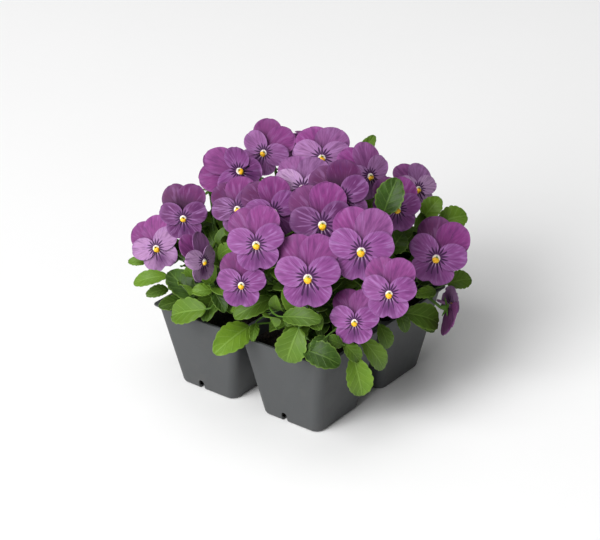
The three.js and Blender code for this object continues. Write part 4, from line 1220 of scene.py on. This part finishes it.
def bezier(points, t):
    """A Bezier curve of any degree at t, by the Bernstein sum."""
    degree = len(points) - 1
    t = np.asarray(t, float)[..., None]
    return sum(
        math.comb(degree, k) * (1 - t) ** (degree - k) * t**k * np.asarray(p) for k, p in enumerate(points)
    )


def stalk_curve(flower, axes, back, lift):
    """The four control points of a flower's stalk, from the crown to the calyx, as in the part's source."""
    end = place_on(flower, axes, 0, lift, back)
    rise = max(STALK["rise"], (end[2] - SOIL_TOP) * STALK["climb"])
    hook = max(STALK["hook"], (STALK["level"] - end[2]) * STALK["droop"])
    x, y = cell_middle(flower["cell"])
    outward = vec(end[0] - x, end[1] - y, 0)
    start = vec(x, y, CROWN["top"] - 2) + outward * CROWN["radius"] / STALK_SPAN
    climb = start + outward * STALK["outward"] + vec(0, 0, rise)
    bend = end - axes[2] * rise * STALK["ahead"] + vec(0, 0, hook)
    return [start, climb, bend, end]


def leaf_frame(leaf):
    """A leaf's axis, side and lift, as in the part's source."""
    start, end = np.array(leaf["from"], float), np.array(leaf["to"], float)
    axis = end - start
    x, y = cell_middle(leaf["cell"])
    outward = unit(vec(start[0] - x, start[1] - y, 0))
    faces = leaf.get("faces", outward * LEAF_FACES["outward"] + vec(0, 0, LEAF_FACES["up"]))
    side = unit(np.cross(faces, axis))
    return start, axis, side, unit(np.cross(axis, side))


def leaf_points(leaf, along, across, teeth=None):
    """A leaf: an arched rib 4 a (1 - a) high, with both halves rising from it by the fold. The half width
    is the profile times the teeth: the source's soft ones, or this many rounded ones."""
    start, axis, side, lift = leaf_frame(leaf)
    along, across = np.broadcast_arrays(np.asarray(along, float), np.asarray(across, float))
    if teeth is None:
        fullness = LEAF_FULLNESS
        tooth = 1 - 0.09 * (1 - np.cos(TAU * leaf["teeth"] * along))
    else:
        fullness = LEAF_FULLNESS - 0.1
        tooth = 0.87 + 0.13 * np.abs(np.sin(math.pi * teeth * along**0.9)) ** 0.6
    half = leaf["width"] / 2 * profile(along, LEAF_PEAK, fullness) * tooth * np.abs(across)
    height = leaf["arch"] * 4 * along * (1 - along) + half * math.sin(LEAF_FOLD)
    out = np.sign(across) * half * math.cos(LEAF_FOLD)
    return start + along[..., None] * axis + height[..., None] * lift + out[..., None] * side


SPOT_ALONG = np.array([0.1, 0.3, 0.55, 0.8, 1])[:, None]
SPOT_ACROSS = np.array([-0.8, 0, 0.8])[None, :]
FLOWERS = [dict(zip(BLOOM_KEYS, row)) for row in BLOOMS] + [BUD]
FLOWER_AT = np.array([flower["at"] for flower in FLOWERS], float)
FLOWER_OUT = np.array([facing(flower["faces"], 0)[2] for flower in FLOWERS])
FLOWER_REACH = np.array([flower["width"] * CLEAR["beside"] for flower in FLOWERS])


def leaf_spots(leaf):
    """The places of a leaf that have to stay clear of other things."""
    return leaf_points(leaf, SPOT_ALONG, SPOT_ACROSS).reshape(-1, 3)


def in_heart(point, cell):
    """Whether a point lies inside a plant's dense heart."""
    x, y = cell_middle(cell)
    heights, radii = zip(*HEART)
    if not heights[0] <= point[2] < heights[-1]:
        return False
    return math.hypot(point[0] - x, point[1] - y) < np.interp(point[2], heights, radii)


def crowded(leaf, others):
    """Whether a leaf grows through the heart, leaves its plant's quarter or comes too near something."""
    rib = leaf_points(leaf, [0.3, 1], [0, 0])
    in_the_heart = any(in_heart(point, leaf["cell"]) for point in rib)
    return in_the_heart or too_near(leaf_spots(leaf), leaf["cell"], others, CLEAR)


def too_near(spots, cell, others, clear):
    """Whether any of a leaf's points is outside its plant's quarter, or too near the pack, a leaf or a
    flower."""
    sign_x, sign_y = CELLS[cell]
    if (spots[:, 0] * sign_x < ROOM).any() or (spots[:, 1] * sign_y < ROOM).any():
        return True
    flange_half = (PITCH + CELL_TOP) / 2 + FLANGE_OUT + CLEAR["edge"]
    over = (np.abs(spots[:, 0]) < flange_half) & (np.abs(spots[:, 1]) < flange_half)
    if (over & (spots[:, 2] < PACK_HEIGHT + CLEAR["above"])).any():
        return True
    if len(others):
        gaps = np.linalg.norm(np.concatenate(others)[:, None] - spots[None], axis=-1)
        if (gaps < clear["apart"]).any():
            return True
    away = spots[:, None] - FLOWER_AT[None]
    height = (away * FLOWER_OUT[None]).sum(-1)
    beside = np.linalg.norm(away - height[..., None] * FLOWER_OUT[None], axis=-1)
    return bool(((height > -clear["behind"]) & (height < clear["before"]) & (beside < FLOWER_REACH)).any())


def first_with_room(candidates, leaves, others):
    """Keeps the first of several places for a leaf that has room."""
    for leaf in candidates:
        if not crowded(leaf, others):
            others.append(leaf_spots(leaf))
            leaves.append(leaf)
            return


def free_leaf(cell, start, end, width, arch, **more):
    """A leaf with two teeth that finds its own place."""
    return {"cell": cell, "from": start, "to": end, "width": width, "arch": arch, "teeth": 2, **more}


def rim_leaves(cell, leaves, others):
    """Leaves that hang over a cell's rim: tries swing to both sides by growing steps, and go higher."""
    x, y = cell_middle(cell)
    for index, direction in enumerate(RIM_LEAVES[cell]):
        candidates = []
        for attempt in range(LEAF_TRIES):
            swing = RIM["step"] * math.ceil(attempt / 2) * (1 if attempt % 2 else -1)
            turn = math.radians(direction + swing)
            z = mix(RIM["low"], RIM["high"], spread(index, 4)) + attempt
            fall = RIM["fall"] * spread(index, 5)
            start, end = (
                (x + reach * math.cos(turn), y + reach * math.sin(turn), height)
                for reach, height in ((RIM["base"], z), (RIM["tip"], z - fall))
            )
            candidates.append(free_leaf(cell, start, end, RIM["width"], RIM["arch"]))
        first_with_room(candidates, leaves, others)


def stalk_leaf(curve, cell, stalk_index, leaves, others):
    """A leaf on a flower's stalk: tries go round it by the golden angle, each pointing lower."""
    index = stalk_index * 4
    root = bezier(curve, STALK_LEAF["from"] + STALK_LEAF["over"] * spread(index, 1))
    length = mix(*LEAF_LENGTHS, spread(index, 2))
    width = mix(*LEAF_WIDTHS, spread(index, 3))
    candidates = []
    for attempt in range(LEAF_TRIES):
        turn = (index * 3 + attempt) * GOLDEN_TURN
        rise = STALK_LEAF["rise"] - STALK_LEAF["fall"] * attempt
        way = unit(vec(math.cos(turn), math.sin(turn), rise))
        start = root + way * LEAF_PETIOLE
        end = start + way * length - vec(0, 0, STALK_LEAF["droop"])
        if np.abs(end[:2]).max() < STALK_LEAF_REACH:
            candidates.append(free_leaf(cell, start, end, width, STALK_LEAF["arch"], root=root))
    first_with_room(candidates, leaves, others)


def heart_leaves(cell, leaves, others):
    """Leaves that stand out all round a plant's heart, from low to high by the golden angle."""
    middle = vec(*cell_middle(cell), AROUND["middle"])
    for index in range(HEART_LEAVES):
        rise = mix(AROUND["lowest"], AROUND["highest"], (index + 0.5) / HEART_LEAVES)
        width = mix(*LEAF_WIDTHS, spread(index, 6))
        candidates = []
        for attempt in range(LEAF_TRIES):
            way, level = dome_way(index * GOLDEN_TURN + attempt * AROUND["step"], rise)
            root, start, end = (middle + way * AROUND[key] for key in ("root", "base", "tip"))
            end = end - vec(0, 0, AROUND["droop"] * level)
            candidates.append(free_leaf(cell, start, end, width, AROUND["arch"], root=root))
        first_with_room(candidates, leaves, others)


def filling_leaves(cell, count, others):
    """Small leaves that fill a plant's heart: places scattered through a dome, from its inside to near its
    surface. The deeper a leaf stands, the darker it is: painted shade inside the foliage."""
    middle = vec(*cell_middle(cell), FILLING["middle"])
    leaves = []
    for index in range(count):
        rise = mix(FILLING["lowest"], FILLING["highest"], scatter(index, 0))
        way, _ = dome_way(TAU * scatter(index, 1), rise)
        share = scatter(index, 2) ** 0.6
        out = way * mix(FILLING["inner"], FILLING["outer"], share)
        length = mix(FILLING["short"], FILLING["long"], scatter(index, 3))
        start = middle + out * vec(1, 1, FILLING["taller"])
        swing = vec(math.cos(1.7 * index), math.sin(2.3 * index), 0.4 * math.sin(3.1 * index))
        end = start + unit(way + 0.8 * swing) * length
        # Painted shade: the deeper in the dome a leaf stands, the nearer its tone comes to the deep green.
        tone = mix(1.0, 0.45, share) + 0.25 * (spread(index, 8) - 0.5)
        more = {"root": middle + out * 0.5, "small": True, "tone": tone}
        leaf = free_leaf(cell, start, end, length * FILLING["slim"], FILLING["arch"], **more)
        spots = leaf_spots(leaf)
        over_rim = np.abs(spots[:, :2]).max() > FILLER_CLEAR["rim"]
        hangs = over_rim and spots[:, 2].min() < FILLER_CLEAR["low"]
        if not hangs and not too_near(spots, cell, others, FILLER_CLEAR):
            others.append(spots)
            leaves.append(leaf)
    return leaves


def root_for(leaf, curves):
    """The place on a plant's stalks that a leaf grows from, as in the part's source."""
    base = np.array(leaf["from"], float)
    away = unit(base - np.array(leaf["to"], float))
    spots = np.concatenate([bezier(curve, np.arange(0.15, 0.9, 0.1)) for curve in curves])
    step = spots - base
    cost = np.linalg.norm(step, axis=1) - 0.6 * step @ away + 0.5 * np.maximum(0, step[:, 2])
    return spots[cost.argmin()]


def leaf_patch(leaf, thickness, index):
    """A crenate leaf blade, cupped and quilted between its veins. Its rows are closest at both ends."""
    small = leaf.get("small", False)
    rows, columns, teeth = SMALL_BLADE if small else LARGE_BLADE
    even = np.linspace(0, 1, rows)
    along = (0.5 * even + 0.25 - 0.25 * np.cos(math.pi * even))[:, None] * 0.985 + 0.008
    across = np.linspace(-1, 1, columns)[None, :]
    side = np.abs(across)
    quilt = 0 if small else 0.35 * side * np.sin(TAU * 4.5 * (along - 0.35 * side))
    wave = 0.5 * np.sin(6 * along + 3 * across + index) * side + quilt
    points = leaf_points(leaf, along, across, teeth) + wave[..., None] * leaf_frame(leaf)[3]
    return sheet(points, thickness, {"leaf": marks_of(wave, across, along, leaf["tone"])})


def petiole_patch(leaf):
    """A leaf's stalk: a quadratic curve from its root that meets the blade along its rib."""
    root = np.asarray(leaf["root"], float)
    base, ahead = leaf_points(leaf, [0.0, 0.1], [0, 0])
    along = unit(ahead - base)
    length = np.linalg.norm(base - root)
    curve = [root, base - along * length * 0.4, base + along * 1.2]
    rings = PETIOLE["rings"]
    share = PETIOLE["small"] if leaf.get("small") else 1
    radii = np.linspace(PETIOLE["start"], PETIOLE["end"], rings) * share
    return tube(bezier(curve, np.linspace(0, 1, rings)), radii, leaf_frame(leaf)[2], 5)


def sepal_patches(flower, axes, front, lift):
    """The calyx: five pointed sepals that lean back, and a small cup behind them."""
    fold = math.tan(math.radians(CALYX["lean"] + max(0, flower.get("back", (0, 0))[0] - 8)))
    along = np.linspace(0, 1, 7)[:, None]
    across = np.linspace(-1, 1, 5)[None, :]
    reach = SEPALS["root"] + (CALYX["tip"] + SEPALS["reach"]) * along
    half = SEPALS["half"] * profile(along * 0.93 + 0.05, 0.38, 0.8) * across
    z = front - SEPALS["thick"] - reach * fold - SEPALS["hollow"] * (1 - across**2)
    patches = []
    for k in range(SEPALS["count"]):
        turn = TAU * (k / SEPALS["count"]) + math.pi / 10
        x = reach * math.cos(turn) - half * math.sin(turn)
        y = lift + reach * math.sin(turn) + half * math.cos(turn)
        patches.append(sheet(place_on(flower, axes, x, y, z)[:, ::-1], SEPALS["thick"], {}))
    z, radii = vec(front, 0)[:, None] + np.array(CUP).T
    patches.append(tube(place_on(flower, axes, 0 * z, lift + 0 * z, z), radii, axes[0], 8))
    return patches


def stalk_patch(curve, axes):
    """A flower's stalk: a round tube along its curve, thinner towards the bloom."""
    centres = bezier(curve, np.linspace(0, 1, STALK_RINGS))
    return tube(centres, np.linspace(*STALK_RADII, STALK_RINGS), axes[0], 8)


def crown_patch(cell):
    """A plant's crown: a short stump from the soil up, narrow at its top."""
    x, y = cell_middle(cell)
    z = np.linspace(SOIL_TOP - 4, CROWN["top"] + 3, len(CROWN_RADII))
    return tube(np.stack([x + 0 * z, y + 0 * z, z], -1), CROWN_RADII, vec(1, 0, 0), 12)


def leaf_material(settings):
    """Leaves: bright to deep green by each leaf's tone, with pale veins, a light edge and quilting."""
    material, nodes = material_with("leaf", Specular_IOR_Level=0.22)
    across, along, tone = nodes.mark("leaf")
    side = nodes.size(across)
    shade, grain = nodes.mottle(120.0, 1400.0)
    slanting = nodes.minus(along, nodes.times(side, 0.33))
    lane = nodes.math("FRACT", nodes.times_plus(slanting, 5.0, 2.0))
    branch = nodes.falls(nodes.size(nodes.minus(lane, 0.5)), 0.03, 0.09)
    branch = nodes.times(branch, nodes.falls(side, 0.6, 0.95))
    rib = nodes.falls(side, 0.03, 0.085)
    veins = nodes.math("MAXIMUM", nodes.times(branch, 0.3), nodes.times(rib, 0.5))
    colour = nodes.layers(rgba(settings.bright), (
        # Towards the deep green by a leaf's tone: the old leaves' colour, and painted shade on the small
        # leaves deep in a heart.
        (tone, settings.deep),
        (nodes.steps(shade, 0.35, 0.7, 0.0, 0.4), LEAF_PATCHES),
        (nodes.times(veins, nodes.times_plus(tone, -0.6, 1.0)), settings.vein),
        (nodes.steps(side, 0.86, 1.0, 0.0, 0.35), LEAF_EDGE),
    ))
    relief = nodes.times_plus(grain, 0.25, nodes.times(veins, -0.8))
    return dress(material, nodes, colour, (relief, 0.6, 0.0006), nodes.steps(shade, 0.3, 0.8, 0.42, 0.6))


def stem_material(settings):
    """Stalks and calyxes: fresh green, a little darker in patches."""
    material, nodes = material_with("stem", Roughness=0.5, Specular_IOR_Level=0.4)
    shade, height = nodes.mottle(150.0, 1800.0)
    patched = nodes.layers(rgba(settings.stem), [(nodes.steps(shade, 0.3, 0.75), STEM_PATCHES)])
    return dress(material, nodes, patched, (height, 0.3, 0.0004))


class VIOLETS_OT_plants(bpy.types.Operator):
    """Build the four plants: stalks, calyxes, leaves and the small leaves that fill their hearts"""

    bl_idname = "violets.plants"
    bl_label = "Plants"

    def execute(self, context):
        """Makes one piece of a plant's leaves and one of its stems."""
        settings = context.scene.violet_foliage
        leaf_skin, stem_skin = leaf_material(settings), stem_material(settings)
        thickness = settings.thickness / MM
        for cell in CELLS:
            node = f"plant_{cell}"
            leaves, stems = plant_parts(cell, settings.filling)
            blades = [leaf_patch(leaf, thickness, k) for k, leaf in enumerate(leaves)]
            stems += [petiole_patch(leaf) for leaf in leaves]
            settle(raw_body(f"leaves_{cell}", gather(blades)), leaf_skin, node, BLADE_SHARP)
            settle(raw_body(f"stems_{cell}", gather(stems)), stem_skin, node, BLADE_SHARP)
        return {"FINISHED"}


def plant_parts(cell, filling):
    """A plant's leaves and the patches of its stems. The leaves find room one after the other."""
    leaves = []
    for row in PLACED_LEAVES:
        leaf = dict(zip(LEAF_KEYS, row))
        if leaf["cell"] == cell:
            leaves.append({**leaf, "teeth": 2 if leaf["width"] < LARGE_LEAF else 3, "faces": FRONT_FACE})
    others = [leaf_spots(leaf) for leaf in leaves]
    rim_leaves(cell, leaves, others)
    curves, stems = [], []
    for number, flower in enumerate(FLOWERS):
        if flower["cell"] != cell:
            continue
        axes = facing(flower["faces"], flower["roll"])
        front, lift = (BUD_FRONT, 0) if flower is BUD else (CALYX["front"], CALYX["lift"])
        curve = stalk_curve(flower, axes, front + CALYX["back"] - CALYX["front"], lift)
        curves.append(curve)
        stems.append(stalk_patch(curve, axes))
        stems += sepal_patches(flower, axes, front, lift)
        if flower is not BUD:
            stalk_leaf(curve, cell, number, leaves, others)
    heart_leaves(cell, leaves, others)
    for number, leaf in enumerate(leaves):
        leaf.setdefault("tone", mix(0.2, 0.9, spread(number, 8)))
        if "root" not in leaf:
            leaf["root"] = root_for(leaf, curves)
    leaves += filling_leaves(cell, filling, others)
    return leaves, [*stems, crown_patch(cell)]


# The stage

def aim(thing, target):
    """Turns a lamp or a camera so that it looks at a target."""
    direction = Vector(target) - thing.location
    thing.rotation_euler = direction.to_track_quat("-Z", "Y").to_euler()


def lamp(name, place, width, power):
    """A soft round lamp that looks at the target."""
    light = bpy.data.lights.new(name, "AREA")
    light.shape = "DISK"
    light.size = width
    light.energy = power
    thing = linked(name, light)
    thing.location = place
    aim(thing, TARGET)


def floor_material(colour):
    """A pale floor that is a little uneven in tone."""
    material, nodes = material_with("floor", Roughness=0.9, Specular_IOR_Level=0.2)
    shade, _ = nodes.mottle(6.0, 60.0)
    low = [0.98 * value for value in colour]
    return dress(material, nodes, nodes.blend(shade, rgba(colour), rgba(low)))


def place_camera(settings):
    """A camera at a distance from the target, whose lens keeps the picture's scale there."""
    data = bpy.data.cameras.new("camera")
    data.sensor_width = SENSOR
    data.lens = SENSOR * PIXELS * settings.distance * 1000 / PICTURE_WIDTH
    data.shift_x, data.shift_y = (shift / PICTURE_WIDTH for shift in PICTURE_SHIFTS)
    camera = linked("camera", data)
    camera.location = vec(*TARGET) + direction_to(settings.azimuth, settings.elevation) * settings.distance
    aim(camera, TARGET)
    bpy.context.scene.camera = camera


class VIOLETS_OT_stage(bpy.types.Operator):
    """Set up the pale floor, the soft lights and the camera"""

    bl_idname = "violets.stage"
    bl_label = "Stage"

    def execute(self, context):
        """Lays the floor, lights it and places the camera."""
        scene = context.scene
        settings = scene.violet_stage
        mesh = bpy.data.meshes.new("floor")
        corners = [(x * FLOOR_HALF, y * FLOOR_HALF, 0) for x, y in ((-1, -1), (1, -1), (1, 1), (-1, 1))]
        mesh.from_pydata(corners, [], [(0, 1, 2, 3)])
        mesh.materials.append(floor_material(settings.floor))
        floor = linked("floor", mesh)

        world = bpy.data.worlds.new("studio")
        world.use_nodes = True
        background = world.node_tree.nodes["Background"]
        background.inputs["Color"].default_value = (1, 1, 1, 1)
        background.inputs["Strength"].default_value = AMBIENT
        scene.world = world
        for name, values in LAMPS.items():
            lamp(name, *values)
        scene.view_settings.view_transform = "Standard"
        place_camera(settings)
        return {"FINISHED"}


class VIOLETS_PT_panel(bpy.types.Panel):
    """Sizes, colours and steps of the violets"""

    bl_label = "Violets"
    bl_idname = "VIOLETS_PT_panel"
    bl_space_type = "VIEW_3D"
    bl_region_type = "UI"
    bl_category = "Violets"

    def draw(self, context):
        """Lists every setting in a box of its group, then every operator."""
        for name, kind in SETTINGS.items():
            box = self.layout.box()
            for setting in kind.__annotations__:
                box.prop(getattr(context.scene, name), setting)
        for operator in OPERATORS:
            self.layout.operator(operator.bl_idname)


SETTINGS = {
    "violet_stage": StageSettings,
    "violet_pack": PackSettings,
    "violet_foliage": FoliageSettings,
    "violet_bloom": BloomSettings,
}
OPERATORS = (
    VIOLETS_OT_stage,
    VIOLETS_OT_pack,
    VIOLETS_OT_soil,
    VIOLETS_OT_plants,
    VIOLETS_OT_blooms,
    VIOLETS_OT_bud,
)
CLASSES = (*SETTINGS.values(), *OPERATORS, VIOLETS_PT_panel)


def register():
    """Registers every class and gives each scene its settings."""
    for kind in CLASSES:
        bpy.utils.register_class(kind)
    for name, kind in SETTINGS.items():
        setattr(bpy.types.Scene, name, bpy.props.PointerProperty(type=kind))


def unregister():
    """Takes the settings away from the scenes and unregisters every class."""
    for name in SETTINGS:
        delattr(bpy.types.Scene, name)
    for kind in reversed(CLASSES):
        bpy.utils.unregister_class(kind)


def main():
    """Builds the stage and every piece."""
    register()
    bpy.ops.violets.stage()
    bpy.ops.violets.pack()
    bpy.ops.violets.soil()
    bpy.ops.violets.plants()
    bpy.ops.violets.blooms()
    bpy.ops.violets.bud()


if __name__ == "__main__":
    main()
